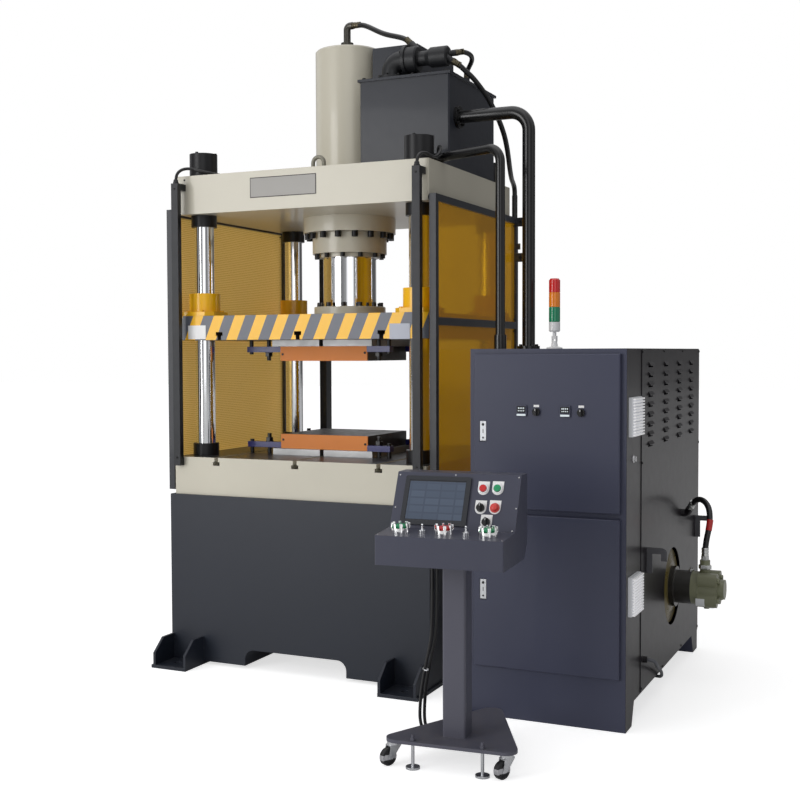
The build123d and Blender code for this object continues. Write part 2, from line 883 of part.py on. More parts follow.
# Light curtain bars at the front corners and a cable duct at the back
with BuildPart() as channels:
    for side in (-1, 1):
        x = (side * curtain_x - curtain_wide / 2, side * curtain_x + curtain_wide / 2)
        curtain_back = curtain_front + curtain_deep
        box_between(x, (curtain_front, curtain_back), (curtain_bottom, curtain_top))
        bracket_z = (curtain_top - curtain_bracket_high, curtain_top)
        box_between(x, (curtain_back, -beam_half_y), bracket_z)
        box_between(x, (curtain_back, -table_half_y), (curtain_bottom, table_top - 5))
    duct_side = (duct_x - duct_wide / 2, duct_x + duct_wide / 2)
    box_between(duct_side, (table_half_y, table_half_y + duct_deep), (duct_bottom, duct_top))
    box_between(duct_side, (beam_half_y, table_half_y), (beam_bottom, duct_top))
finish(channels.part, "channels")

# Oil tank with its cover and riser
with BuildPart() as oil_tank:
    tank_y = (tank_front, tank_back)
    box_between((tank_left, tank_right), tank_y, (beam_top, tank_top - tank_cover_thick))
    chamfer(oil_tank.edges().filter_by(Axis.Z), 6)
    cover_x = (tank_left - tank_cover_lip, tank_right + tank_cover_lip)
    cover_y = (tank_front - tank_cover_lip, tank_back + tank_cover_lip)
    box_between(cover_x, cover_y, (tank_top - tank_cover_thick, tank_top))
    box_between((tank_left, riser_right), (riser_front, tank_back), (tank_top, riser_top))
finish(oil_tank.part, "oil_tank")

# Prefill valve on the tank: a flanged elbow, then the body, neck and flared cap along X
with BuildPart() as prefill_valve:
    turned([
        (0, 0),
        (valve_elbow_flange_d / 2, 0),
        (valve_elbow_flange_d / 2, valve_elbow_flange_thick),
        (0, valve_elbow_flange_thick),
    ], at=(valve_elbow_x, valve_y, tank_top))
    elbow_route = [
        (valve_elbow_x, valve_y, tank_top + valve_elbow_flange_thick),
        (valve_elbow_x, valve_y, valve_z),
        (valve_flange_x, valve_y, valve_z),
    ]
    tube("prefill elbow", elbow_route, valve_elbow_d, [valve_bend])
    body_long = valve_neck_x - valve_flange_x
    flange_long = valve_body_x - valve_flange_x
    cap_start = valve_cap_x - valve_flange_x
    cap_end = valve_cap_end - valve_flange_x
    turned([
        (0, 0),
        (valve_flange_d / 2, 0),
        (valve_flange_d / 2, flange_long),
        (valve_body_d / 2, flange_long),
        (valve_body_d / 2, body_long - 6),
        (valve_body_d / 2 - 6, body_long),
        (valve_neck_d / 2, body_long),
        (valve_neck_d / 2, cap_start - 14),
        (valve_cap_d / 2 - 6, cap_start),
        (valve_cap_d / 2, cap_start + 10),
        (valve_cap_d / 2, cap_end - 5),
        (valve_cap_d / 2 - 5, cap_end),
        (0, cap_end),
    ], at=(valve_flange_x, valve_y, valve_z), along=(1, 0, 0))
    rod(top_fitting_at, top_fitting_along, fitting_d / 2, top_fitting_long)
    rod(long_fitting_at, long_fitting_along, cap_fitting_d / 2, cap_fitting_long)
    rod(short_fitting_at, short_fitting_along, cap_fitting_d / 2, cap_fitting_long)
    rod((cover_fitting_x, cover_fitting_y, tank_top), (0, 0, 1), fitting_d / 2 - 3, cover_fitting_high)
finish(prefill_valve.part, "prefill_valve")

# Rigid pipes from the tank and the beam down to the cabinet
tank_pipe_route = [
    (tank_right + pipe_flange_thick, tank_pipe_y, tank_pipe_z),
    (tank_pipe_x, tank_pipe_y, tank_pipe_z),
    (tank_pipe_x, tank_pipe_y, cabinet_top + pipe_flange_thick),
]
cable_pipe_route = [
    (*cable_pipe_start, cable_pipe_z),
    (*cable_pipe_knee, cable_pipe_z),
    (cable_pipe_x, cable_pipe_y, cable_pipe_z),
    (cable_pipe_x, cable_pipe_y, cabinet_top + cable_pipe_collar_high),
]
with BuildPart() as pipes:
    tube("tank pipe", tank_pipe_route, tank_pipe_d, [tank_pipe_bend])
    rod((tank_right, tank_pipe_y, tank_pipe_z), (1, 0, 0), pipe_flange_d / 2, pipe_flange_thick)
    rod((tank_pipe_x, tank_pipe_y, cabinet_top), (0, 0, 1), pipe_flange_d / 2, pipe_flange_thick)
    tube("cable pipe", cable_pipe_route, cable_pipe_d, [cable_pipe_knee_bend, cable_pipe_bend])
    rod((cable_pipe_x, cable_pipe_y, cabinet_top), (0, 0, 1), cable_pipe_collar_d / 2, cable_pipe_collar_high)
    rod((*cable_pipe_start, beam_top), (0, 0, 1), cable_pipe_d / 2 + 4, cable_pipe_z + cable_pipe_d / 2 - beam_top)
    rod((rear_pipe_x, rear_pipe_y, base_top), (0, 0, 1), rear_pipe_d / 2, rear_pipe_top - base_top)
finish(pipes.part, "pipes")

# Cabinet shell on its plinth, with a shelf between its two rooms
cabinet_profile = [
    (cabinet_front, 0),
    (front_foot_back, 0),
    (front_foot_back + front_foot_slope, skirt_z),
    (rear_foot_front - rear_foot_slope, skirt_z),
    (rear_foot_front, 0),
    (cabinet_back, 0),
    (cabinet_back, cabinet_top),
    (cabinet_front, cabinet_top),
]
room_x = (cabinet_left + cabinet_wall, cabinet_right - cabinet_wall)
room_y = (cabinet_front + cabinet_wall, cabinet_back - cabinet_wall)
lower_room_z = (plinth_top + shelf_thick, shelf_z - shelf_thick / 2)
upper_room_z = (shelf_z + shelf_thick / 2, cabinet_top - cabinet_wall)
with BuildPart() as cabinet:
    profile_prism(Plane.YZ.offset(cabinet_left), cabinet_profile, cabinet_right - cabinet_left)
    for room_z, door_z in ((lower_room_z, lower_door_z), (upper_room_z, upper_door_z)):
        box_between(room_x, room_y, room_z, Mode.SUBTRACT)
        doorway_x = (door_left + doorway_lip, door_right - doorway_lip)
        doorway_z = (door_z[0] + doorway_lip, door_z[1] - doorway_lip)
        box_between(doorway_x, (cabinet_front, cabinet_front + cabinet_wall), doorway_z, Mode.SUBTRACT)
        side_y = (panel_front + doorway_lip, cabinet_back - doorway_lip - cabinet_wall)
        side_z = (room_z[0] + doorway_lip, room_z[1] - doorway_lip)
        box_between((cabinet_right - cabinet_wall, cabinet_right), side_y, side_z, Mode.SUBTRACT)
finish(cabinet.part, "cabinet")

# Louvred side panel with the pump's round opening, the hose hooks and the hose gland
gland_elbow = [
    (panel_face, gland_hose_y, gland_hose_z),
    (panel_face + gland_hose_long, gland_hose_y, gland_hose_z),
    tuple(Vector(panel_face + gland_hose_long, gland_hose_y, gland_hose_z) + Vector(gland_elbow_tip)),
]
louvre_wedge = [(0, 0), (louvre_proud, -louvre_high + louvre_lip), (louvre_proud, -louvre_high), (0, -louvre_high)]
with BuildPart() as side_panel:
    panel_z = (skirt_z + panel_edge, cabinet_top - panel_edge)
    box_between((cabinet_right, panel_face), (panel_front, cabinet_back - panel_edge), panel_z)
    rod((cabinet_right, pump_y, pump_z), (1, 0, 0), pump_opening_d / 2, panel_thick, Mode.SUBTRACT)
    for row in range(louvre_rows):
        top = louvre_top_z - row * louvre_pitch
        for y in louvre_y:
            slot_z = (top - louvre_high - louvre_slot, top - louvre_high)
            span = (y - louvre_long / 2, y + louvre_long / 2)
            box_between((cabinet_right, panel_face), span, slot_z, Mode.SUBTRACT)
            hood = Plane(origin=(panel_face, y + louvre_long / 2, top), x_dir=(1, 0, 0), z_dir=(0, -1, 0))
            profile_prism(hood, louvre_wedge, louvre_long)
    for y in hook_y:
        hook = Plane(origin=(panel_face, y + hook_thick / 2, hook_bottom), x_dir=(1, 0, 0), z_dir=(0, -1, 0))
        with BuildSketch(hook) as hook_face:
            with BuildLine():
                Polyline(
                    (0, 0),
                    (hook_bar, 0),
                    (hook_bar, hook_high - hook_bar),
                    (hook_reach - hook_bar, hook_high - hook_bar),
                    (hook_reach - hook_bar, hook_high - hook_nose),
                    (hook_reach, hook_high - hook_nose),
                    (hook_reach, hook_high),
                    (0, hook_high),
                    close=True,
                )
            make_face()
            fillet(hook_face.vertices().sort_by_distance((hook_reach, hook_high))[0], hook_bar * 0.8)
        extrude(hook_face.sketch, amount=hook_thick)
    tube("pump hose elbow", gland_elbow, gland_hose_d, [gland_elbow_bend])
    rod((panel_face, side_gland_y, side_gland_z), (1, 0, 0), side_gland_d / 2, side_gland_long)
finish(side_panel.part, "side_panel")

# Vent covers with their slots
with BuildPart() as vent_covers:
    vent_plane = Plane(origin=(cabinet_right, vent_y, 0), x_dir=(0, 1, 0), z_dir=(1, 0, 0))
    with BuildSketch(vent_plane):
        with Locations([(0, z) for z in vent_z]):
            Rectangle(vent_size, vent_size)
    extrude(amount=vent_thick)
    chamfer(vent_covers.edges().group_by(Axis.X)[-1], 6)
    with BuildSketch(vent_plane.offset(vent_thick)):
        with Locations([(0, z) for z in vent_z]):
            with GridLocations(1, vent_slot_pitch, 1, vent_slots):
                Rectangle(vent_size * vent_slot_share, vent_slot_high)
    extrude(amount=-vent_thick / 2, mode=Mode.SUBTRACT)
finish(vent_covers.part, "vent_covers")

# Mounting board of the electric room, with wiring ducts and rows of switchgear
with BuildPart() as switchgear:
    board_z = (upper_room_z[0], upper_room_z[1] - board_inset)
    box_between(room_x, (board_y, board_y + cabinet_wall), board_z)
    board_middle = (room_x[0] + room_x[1]) / 2
    row_z = [board_z[0] + gear_row_low + gear_row_pitch * row for row in range(3)]
    for z in row_z:
        with BuildSketch(Plane(origin=(board_middle, board_y, z), x_dir=(1, 0, 0), z_dir=(0, -1, 0))) as row:
            with GridLocations(gear_pitch, 1, 7, 1):
                Rectangle(gear_wide, gear_high)
        extrude(row.sketch, amount=gear_deep)
    wire_duct_x = (board_middle - wire_duct_half, board_middle + wire_duct_half)
    for z in (row_z[0] + gear_row_pitch / 2, row_z[1] + gear_row_pitch / 2):
        wire_duct_z = (z - wire_duct_high / 2, z + wire_duct_high / 2)
        box_between(wire_duct_x, (board_y - wire_duct_deep, board_y), wire_duct_z)
finish(switchgear.part, "switchgear")

# Drive motor on its foot, with the flange and bell housing that carry the pump
with BuildPart() as drive_motor:
    turned([
        (0, 0),
        (motor_d * 0.3, 0),
        (motor_d / 2 - 12, 14),
        (motor_d / 2 - 12, 60),
        (motor_d / 2, 66),
        (motor_d / 2, motor_end - motor_left - 20),
        (motor_flange_d / 2, motor_end - motor_left - 20),
        (motor_flange_d / 2, motor_end - motor_left),
        (bell_d / 2, motor_end - motor_left + 12),
        (bell_d / 2, cabinet_right - motor_left),
        (0, cabinet_right - motor_left),
    ], at=(motor_left, pump_y, pump_z), along=(1, 0, 0))
    foot_y = (pump_y - motor_foot_wide / 2, pump_y + motor_foot_wide / 2)
    box_between((motor_left + 90, motor_end - 60), foot_y, (lower_room_z[0], pump_z - motor_d * 0.3))
finish(drive_motor.part, "drive_motor")

# Pump outside the panel, with a square four-lobed flange and end cap
with BuildPart() as pump:
    pump_face = Plane(origin=(cabinet_right, pump_y, pump_z), x_dir=(0, 1, 0), z_dir=(1, 0, 0))
    with BuildSketch(pump_face) as lobes:
        Circle(pump_flange_d / 2)
    extrude(lobes.sketch, amount=pump_flange_thick)
    rod((cabinet_right + pump_flange_thick, pump_y, pump_z), (1, 0, 0), pump_body_d / 2, 100)
    cap_start_x = cabinet_right + pump_flange_thick + 100
    with BuildSketch(pump_face.offset(cap_start_x - cabinet_right)) as cap:
        Circle(pump_lobe_offset + pump_lobe_r * 0.5)
        with GridLocations(2 * pump_lobe_offset, 2 * pump_lobe_offset, 2, 2):
            Circle(pump_lobe_r)
        fillet(cap.vertices(), 6)
    extrude(cap.sketch, amount=pump_end - 26 - cap_start_x)
    rod((pump_end - 26, pump_y, pump_z), (1, 0, 0), pump_body_d * 0.3, 26)
    port_low = pump_z + pump_body_d / 2 - 20
    rod((pump_port_x, pump_y, port_low), (0, 0, 1), pump_port_d / 2, pump_port_top - port_low)
    rod((cap_start_x + 30, pump_y, pump_z - pump_body_d / 2 - 16), (0, 0, 1), 12, 30)
finish(pump.part, "pump")

# Foot and folding hinge of the signal tower
with BuildPart() as tower_foot:
    turned([
        (0, 0),
        (tower_foot_d / 2, 0),
        (tower_foot_d / 2, 6),
        (tower_stalk_d / 2 + 4, 12),
        (tower_stalk_d / 2, tower_hinge_z - cabinet_top - 16),
        (0, tower_hinge_z - cabinet_top - 16),
    ], at=(tower_x, tower_y, cabinet_top))
    for side in (-1, 1):
        ear = sorted((tower_x + side * 6.3, tower_x + side * 11))
        box_between(ear, (tower_y - 9, tower_y + 9), (tower_hinge_z - 18, tower_hinge_z + 6))
finish(tower_foot.part, "tower_foot")

# Signal tower: hinge tongue, base and three lenses with a domed top
with BuildPart() as tower_light:
    box_between((tower_x - 6, tower_x + 6), (tower_y - 8, tower_y + 8), (tower_hinge_z - 8, tower_light_bottom))
    tower_r = tower_d / 2
    lens_high = (tower_light_top - tower_light_bottom - tower_base_high) / 3
    tower_profile = [
        (0, tower_light_bottom),
        (tower_r - 4, tower_light_bottom),
        (tower_r, tower_light_bottom + 6),
    ]
    for seam in range(3):
        seam_z = tower_light_bottom + tower_base_high + seam * lens_high
        tower_profile += [(tower_r, seam_z - 1), (tower_r - tower_seam_deep, seam_z - 1)]
        tower_profile += [(tower_r - tower_seam_deep, seam_z + 1), (tower_r, seam_z + 1)]
    tower_profile += [(tower_r, tower_light_top - 10), (tower_r - 6, tower_light_top - 2)]
    tower_profile += [(0, tower_light_top)]
    turned(tower_profile, at=(tower_x, tower_y, 0))
finish(tower_light.part, "tower_light")

# Cabinet doors with their handle recesses and controller housings
for name, door_z, handle_z in (
    ("upper_door", upper_door_z, upper_handle_z),
    ("lower_door", lower_door_z, lower_handle_z),
):
    with BuildPart() as door:
        front_plane = Plane(origin=(0, door_front, 0), x_dir=(1, 0, 0), z_dir=(0, -1, 0))
        box_between((door_left, door_right), (door_front, door_front + door_thick), door_z)
        fillet(door.faces().sort_by(Axis.Y)[0].edges(), door_round)
        recess_x = (handle_x - handle_wide / 2 - handle_play, handle_x + handle_wide / 2 + handle_play)
        recess_z = (handle_z - handle_play, handle_z + handle_long + handle_play)
        box_between(recess_x, (door_front, door_front + handle_thick + handle_play), recess_z, Mode.SUBTRACT)
        if name == "upper_door":
            for x in controller_x:
                with BuildSketch(front_plane) as housing:
                    with Locations((x, controller_z)):
                        RectangleRounded(controller_size, controller_size, 4)
                extrude(housing.sketch, amount=controller_proud)
    finish(door.part, name)

    # The handle lies in its recess on two trunnions at its lower end
    with BuildPart() as handle:
        handle_side = Plane.YZ.offset(handle_x - handle_wide / 2)
        with BuildSketch(handle_side) as handle_face:
            with Locations((door_front + handle_thick / 2, handle_z + handle_long / 2)):
                Rectangle(handle_thick, handle_long)
            fillet(handle_face.vertices().group_by(Axis.Y)[0], handle_thick / 2 - 0.1)
        extrude(handle_face.sketch, amount=handle_wide)
        trunnion = (recess_x[0] + play, door_front + handle_thick / 2, handle_z + handle_thick / 2)
        rod(trunnion, (1, 0, 0), handle_thick / 4, recess_x[1] - recess_x[0] - 2 * play)
    finish(handle.part, name.replace("door", "handle"))

# Rotary switches of the cabinet door
for name, x in zip(("cabinet_switch_left", "cabinet_switch_right"), switch_x):
    with BuildPart() as switch:
        turned([
            (0, 0),
            (switch_d / 2, 0),
            (switch_d / 2, 8),
            (switch_d / 2 - 2, 10),
            (0, 10),
        ], at=(x, door_front - play, switch_z), along=(0, -1, 0))
        grip_y = (door_front - play - grip_high, door_front - play - 10)
        grip_z = (switch_z - switch_d / 2 + 1, switch_z + switch_d / 2 - 1)
        box_between((x - grip_wide / 2, x + grip_wide / 2), grip_y, grip_z)
    finish(switch.part, name)

# Console stand: a three-cornered plate, a square post, its top plate and the levelling feet
with BuildPart() as console_stand:
    with BuildSketch(console.offset(stand_bottom)) as stand_face:
        with BuildLine():
            Polyline(*stand_tips, close=True)
        make_face()
        fillet(stand_face.vertices(), stand_round)
    extrude(amount=stand_top - stand_bottom)
    with BuildSketch(console.offset(stand_top)) as post_face:
        RectangleRounded(post_side, post_side, 8)
    extrude(amount=head_bottom - head_plate_thick - stand_top)
    with BuildSketch(console.offset(head_bottom - head_plate_thick)):
        RectangleRounded(head_plate, head_plate, 10)
    extrude(amount=head_plate_thick)
    with BuildSketch(console.offset(stand_bottom)):
        with Locations(leveller_at):
            Circle(leveller_rod_d / 2 + hole_fit)
    extrude(amount=stand_top - stand_bottom, mode=Mode.SUBTRACT)
    with BuildSketch(console):
        with Locations(leveller_at):
            Circle(leveller_pad_d / 2)
    extrude(amount=leveller_pad_high)
    with BuildSketch(console.offset(leveller_pad_high)):
        with Locations(leveller_at):
            Circle(leveller_rod_d / 2)
    extrude(amount=stand_top + leveller_rise - leveller_pad_high)
    with BuildSketch(console.offset(stand_top + running_fit)):
        with Locations(leveller_at):
            RegularPolygon(leveller_nut_d / 2, 6)
    extrude(amount=leveller_nut_high)
finish(console_stand.part, "console_stand")

# Console head with collars for its buttons, selectors and levers
with BuildPart() as console_box:
    head_left = console.from_local_coords(Vector(-head_half_x, 0, 0))
    head_side = Plane(origin=head_left, x_dir=console.y_dir, z_dir=console.x_dir)
    profile_prism(head_side, head_profile, 2 * head_half_x)
    upright_faces = console_box.faces().filter_by(lambda face: abs(face.normal_at().Z) < 0.001)
    fillet(upright_faces.edges().filter_by(Axis.Z), head_round)
    with BuildSketch(panel_plane) as panel_rings:
        with Locations([red_button_at, green_button_at]):
            Circle(ring_d / 2)
            Circle(ring_bore / 2, mode=Mode.SUBTRACT)
    extrude(panel_rings.sketch, amount=ring_high)
    with BuildSketch(desk_plane) as desk_rings:
        with Locations([(x, 0) for x in mushroom_x.values()]):
            Circle(stem_collar_d / 2)
            Circle(stem_d / 2 + play, mode=Mode.SUBTRACT)
        with Locations([(x, 0) for x in lever_x.values()]):
            Circle(lever_collar_d / 2)
            Circle(lever_ball_d / 2 + play, mode=Mode.SUBTRACT)
    extrude(desk_rings.sketch, amount=stem_collar_high)
finish(console_box.part, "console_box")

# Touch screen with its bezel and recessed glass
with BuildPart() as touch_screen:
    screen_middle = ((screen_x[0] + screen_x[1]) / 2, (screen_s[0] + screen_s[1]) / 2)
    with BuildSketch(panel_plane):
        with Locations(screen_middle):
            RectangleRounded(screen_x[1] - screen_x[0], screen_s[1] - screen_s[0], 7)
    extrude(amount=screen_proud)
    with BuildSketch(panel_plane.offset(screen_proud - screen_recess)):
        with Locations(screen_middle):
            glass_x = screen_x[1] - screen_x[0] - 2 * screen_glass_inset
            Rectangle(glass_x, screen_s[1] - screen_s[0] - 2 * screen_glass_inset)
    extrude(amount=screen_recess, mode=Mode.SUBTRACT)
finish(touch_screen.part, "touch_screen")

# Castellated guard rings round the mushroom buttons, and the panel lamp
with BuildPart() as console_fittings:
    for x in mushroom_x.values():
        with BuildSketch(desk_plane) as guard_ring:
            with Locations((x, 0)):
                Circle(guard_ring_d / 2)
                Circle(guard_ring_bore / 2, mode=Mode.SUBTRACT)
        extrude(guard_ring.sketch, amount=guard_ring_high)
        with BuildSketch(desk_plane.offset(guard_ring_high - guard_notch_deep)) as notches:
            with Locations((x, 0)):
                Rectangle(guard_ring_d + 2, guard_notch_wide, rotation=45)
                Rectangle(guard_ring_d + 2, guard_notch_wide, rotation=-45)
        extrude(notches.sketch, amount=guard_notch_deep, mode=Mode.SUBTRACT)
    lamp_point = panel_plane.from_local_coords(Vector(lamp_at[0], lamp_at[1], 0))
    turned([(0, 0), (17, 0), (17, 5), (13, 6), (12, 14), (0, 17)], at=lamp_point, along=panel_plane.z_dir)
finish(console_fittings.part, "console_fittings")

# Push-buttons of the sloping panel
for name, place in (("red_button", red_button_at), ("green_button", green_button_at)):
    with BuildPart() as button:
        with BuildSketch(panel_plane.offset(cap_low)):
            with Locations(place):
                Circle(cap_d / 2)
        extrude(amount=cap_high - cap_low)
        chamfer(button.faces().sort_by(Axis.Z)[-1].edges(), 1.5)
    finish(button.part, name)

# Selector switches of the sloping panel
for name, place in (("selector_upper", selector_upper_at), ("selector_lower", selector_lower_at)):
    with BuildPart() as selector:
        with BuildSketch(panel_plane.offset(play)):
            with Locations(place):
                Circle(selector_d / 2)
        extrude(amount=selector_disc)
        with BuildSketch(panel_plane.offset(play + selector_disc)):
            with Locations(place):
                SlotOverall(selector_d - 2, grip_wide, rotation=90)
        extrude(amount=grip_high - selector_disc)
    finish(selector.part, name)

# Mushroom buttons of the desk, each on its stem
for name, x in mushroom_x.items():
    with BuildPart() as mushroom:
        turned([
            (0, button_travel + play),
            (stem_d / 2, button_travel + play),
            (stem_d / 2, mushroom_low),
            (mushroom_d / 2, mushroom_low),
            (mushroom_d / 2, mushroom_high - 8),
            (mushroom_d / 2 - 5, mushroom_high - 2),
            (0, mushroom_high),
        ], at=desk_plane.from_local_coords(Vector(x, 0, 0)), along=desk_plane.z_dir)
    finish(mushroom.part, name)

# Lever switches of the desk: a ball in its collar, and the lever
for name, x in lever_x.items():
    with BuildPart() as lever:
        turned([
            (0, play),
            (lever_foot_d / 2, play),
            (lever_ball_d / 2, 4),
            (lever_ball_d / 2, 9),
            (lever_rod_d / 2, 14),
            (lever_rod_d / 2 - 1, lever_long - 8),
            (lever_rod_d / 2 + 1, lever_long - 4),
            (0, lever_long),
        ], at=desk_plane.from_local_coords(Vector(x, 0, 0)), along=desk_plane.z_dir)
    finish(lever.part, name)

# Casters under the console: a swivelling fork with its axle, and a wheel
for number, (place, heading) in enumerate(zip(caster_at, caster_heading), start=1):
    swivel = console.from_local_coords(Vector(*place, 0))
    turn = radians(heading + console_turn)
    trail = Vector(cos(turn), sin(turn), 0)
    axle = Vector(-sin(turn), cos(turn), 0)
    hub = swivel + trail * caster_trail + Vector(0, 0, wheel_d / 2)
    cheek_out = wheel_wide / 2 + wheel_side_gap + cheek_thick
    with BuildPart() as fork:
        rod((swivel.X, swivel.Y, fork_crown_z), (0, 0, 1), fork_head_d / 2, stand_bottom - play - fork_crown_z)
        cheek_plane = Plane(origin=swivel + axle * cheek_out, x_dir=trail, z_dir=-axle)
        cheek = [
            (-fork_head_d / 2, fork_crown_z),
            (-fork_head_d / 2, fork_crown_z - 5),
            (caster_trail - 9, wheel_d / 2 - 8),
            (caster_trail + 9, wheel_d / 2 - 8),
            (fork_head_d / 2, fork_crown_z - 5),
            (fork_head_d / 2, fork_crown_z),
        ]
        profile_prism(cheek_plane, cheek, cheek_thick)
        profile_prism(cheek_plane.offset(2 * cheek_out - cheek_thick), cheek, cheek_thick)
        crown = [(-fork_head_d / 2, fork_crown_z - 3), (fork_head_d / 2, fork_crown_z - 3)]
        crown += [(fork_head_d / 2, fork_crown_z), (-fork_head_d / 2, fork_crown_z)]
        profile_prism(cheek_plane, crown, 2 * cheek_out)
        rod(hub - axle * cheek_out, axle, axle_d / 2, 2 * cheek_out)
    finish(fork.part, f"caster_fork_{number}")

    with BuildPart() as wheel:
        half = wheel_wide / 2
        turned([
            (axle_d / 2 + running_fit, -half - 1),
            (axle_d / 2 + 5, -half - 1),
            (wheel_d / 2 - 10, -half + 3),
            (wheel_d / 2 - 8, -half),
            (wheel_d / 2 - 2, -half),
            (wheel_d / 2, -half + 3),
            (wheel_d / 2, half - 3),
            (wheel_d / 2 - 2, half),
            (wheel_d / 2 - 8, half),
            (wheel_d / 2 - 10, half - 3),
            (axle_d / 2 + 5, half + 1),
            (axle_d / 2 + running_fit, half + 1),
        ], at=hub, along=axle)
    finish(wheel.part, f"caster_wheel_{number}")

# Hoses and cables, each along its own hand-picked route between two fittings
top_hose = [
    (elbow_reach, elbow_y, elbow_z),
    (74, elbow_y, elbow_z),
    (120, -36, 2998),
    (166, -60, 2972),
    (214, -80, 2946),
    (262, -98, 2926),
    (312, -114, 2910),
    fitting_end(top_fitting_at, top_fitting_along, top_fitting_long + 40),
    fitting_end(top_fitting_at, top_fitting_along, top_fitting_long),
]
long_hose = [
    fitting_end(long_fitting_at, long_fitting_along, cap_fitting_long),
    fitting_end(long_fitting_at, long_fitting_along, cap_fitting_long + 32),
    (656, -126, 2714),
    (676, -96, 2692),
    (694, -58, 2660),
    (712, -16, 2624),
    (726, 42, 2574),
    (736, 102, 2520),
    (738, 162, 2466),
    (730, 222, 2416),
    (716, 284, 2372),
    (700, 346, 2338),
    (684, 408, 2314),
    (668, 468, 2302),
    (658, 520, 2292),
    (rear_pipe_x, rear_pipe_y, 2268),
    (rear_pipe_x, rear_pipe_y, rear_pipe_top),
]
short_hose = [
    fitting_end(short_fitting_at, short_fitting_along, cap_fitting_long),
    fitting_end(short_fitting_at, short_fitting_along, cap_fitting_long + 26),
    (646, -96, 2806),
    (654, -62, 2802),
    (648, -26, 2794),
    (630, 4, 2780),
    (612, 18, 2764),
    (cover_fitting_x, cover_fitting_y, 2744),
    (cover_fitting_x, cover_fitting_y, tank_top + cover_fitting_high),
]
gland_elbow_along = Vector(gland_elbow_tip).normalized()
elbow_end = gland_elbow[-1]
pump_hose = [
    (pump_port_x, pump_y, pump_port_top),
    (pump_port_x, pump_y, 584),
    (1704, 64, 630),
    (1713, 72, 678),
    (1714, 88, 724),
    (1704, 116, 762),
    (1680, 152, 784),
    (1649, 190, 790),
    tuple(Vector(elbow_end) + gland_elbow_along * 40),
    elbow_end,
]
curtain_middle_y = curtain_front + curtain_deep / 2
left_curtain_cable = [
    (-curtain_x, curtain_middle_y, curtain_top),
    (-curtain_x, curtain_middle_y, 2262),
    (-602, -562, 2288),
    (-588, -536, 2304),
    (-562, -510, 2306),
    (-526, -504, 2296),
    (-488, -492, 2286),
    (-464, -456, 2281),
    (-452, -400, 2280),
    (-440, -280, 2280),
    (-443, -120, 2280),
    (-438, 60, 2280),
    (-444, 230, 2280),
    (-452, 370, 2280),
    (-450, 470, 2281),
    (-449, 540, 2284),
    (duct_x, table_half_y + duct_deep / 2, 2256),
    (duct_x, table_half_y + duct_deep / 2, duct_top),
]
right_curtain_cable = [
    (curtain_x, curtain_middle_y, curtain_top),
    (curtain_x, curtain_middle_y, 2262),
    (615, -558, 2286),
    (625, -528, 2295),
    (633, -488, 2288),
    (636, -446, 2284),
    (637, -408, 2302),
    (634, -374, 2326),
    (624, -347, 2346),
    (*cable_pipe_start, 2350),
    (*cable_pipe_start, cable_pipe_z + cable_pipe_d / 2),
]
side_cable = [
    (panel_face + side_gland_long, side_gland_y, side_gland_z),
    (1598, side_gland_y, side_gland_z),
    (1606, -484, 206),
    (1604, -452, 186),
    (1598, -404, 166),
    (1590, -352, 150),
    (1582, -296, 130),
    (1576, -246, 110),
    (1570, -204, 84),
    (1556, -166, 66),
    (1530, -134, 58),
    (1504, -112, 54),
    (1490, -104, 64),
    (1490, -104, skirt_z),
]
inner_console_cable = [
    (-84, 30, head_bottom),
    (-84, 30, 670),
    (-87, 40, 590),
    (-92, 50, 500),
    (-100, 60, 420),
    (-126, 78, 330),
    (-146, 94, 250),
    (-158, 104, 170),
    (-162, 112, 100),
    (-156, 130, 44),
    (-134, 168, 12),
    (-98, 224, 7),
    (-62, 290, 7),
    (-26, 366, 7),
    (0, 440, 7),
    (-48, 492, 7),
    (-101, 524, 7),
    (-135, 560, 7),
    (-146, 612, 7),
    (-144, 672, 7),
    (-132, 726, 7),
    (-108, 769, 12),
    (-80, 791, 34),
    (-68, 798, 58),
    (-68, 798, skirt_z),
]
outer_console_cable = [
    (-100, 24, head_bottom),
    (-100, 24, 668),
    (-103, 32, 590),
    (-107, 40, 500),
    (-112, 46, 420),
    (-137, 64, 330),
    (-157, 80, 250),
    (-171, 92, 170),
    (-178, 106, 100),
    (-171, 132, 44),
    (-149, 174, 12),
    (-113, 232, 7),
    (-77, 298, 7),
    (-42, 372, 7),
    (-17, 434, 7),
    (-58, 480, 7),
    (-111, 511, 7),
    (-149, 553, 7),
    (-162, 611, 7),
    (-160, 674, 7),
    (-147, 732, 7),
    (-120, 779, 12),
    (-89, 804, 34),
    (-76, 814, 58),
    (-76, 814, skirt_z),
]
with BuildPart() as hoses:
    tube("top hose", top_hose, top_hose_d)
    tube("long hose", long_hose, long_hose_d)
    tube("short hose", short_hose, short_hose_d)
    tube("pump hose", pump_hose, pump_hose_d)
    tube("left curtain cable", left_curtain_cable, curtain_cable_d)
    tube("right curtain cable", right_curtain_cable, curtain_cable_d)
    tube("side cable", side_cable, side_cable_d)
    tube("inner console cable", from_console(inner_console_cable), console_cable_d)
    tube("outer console cable", from_console(outer_console_cable), console_cable_d)
finish(hoses.part, "hoses")
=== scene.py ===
"""Finishes, fasteners, hoses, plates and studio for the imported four-column hydraulic press."""

import math

import bmesh
import bpy
from mathutils import Matrix, Vector


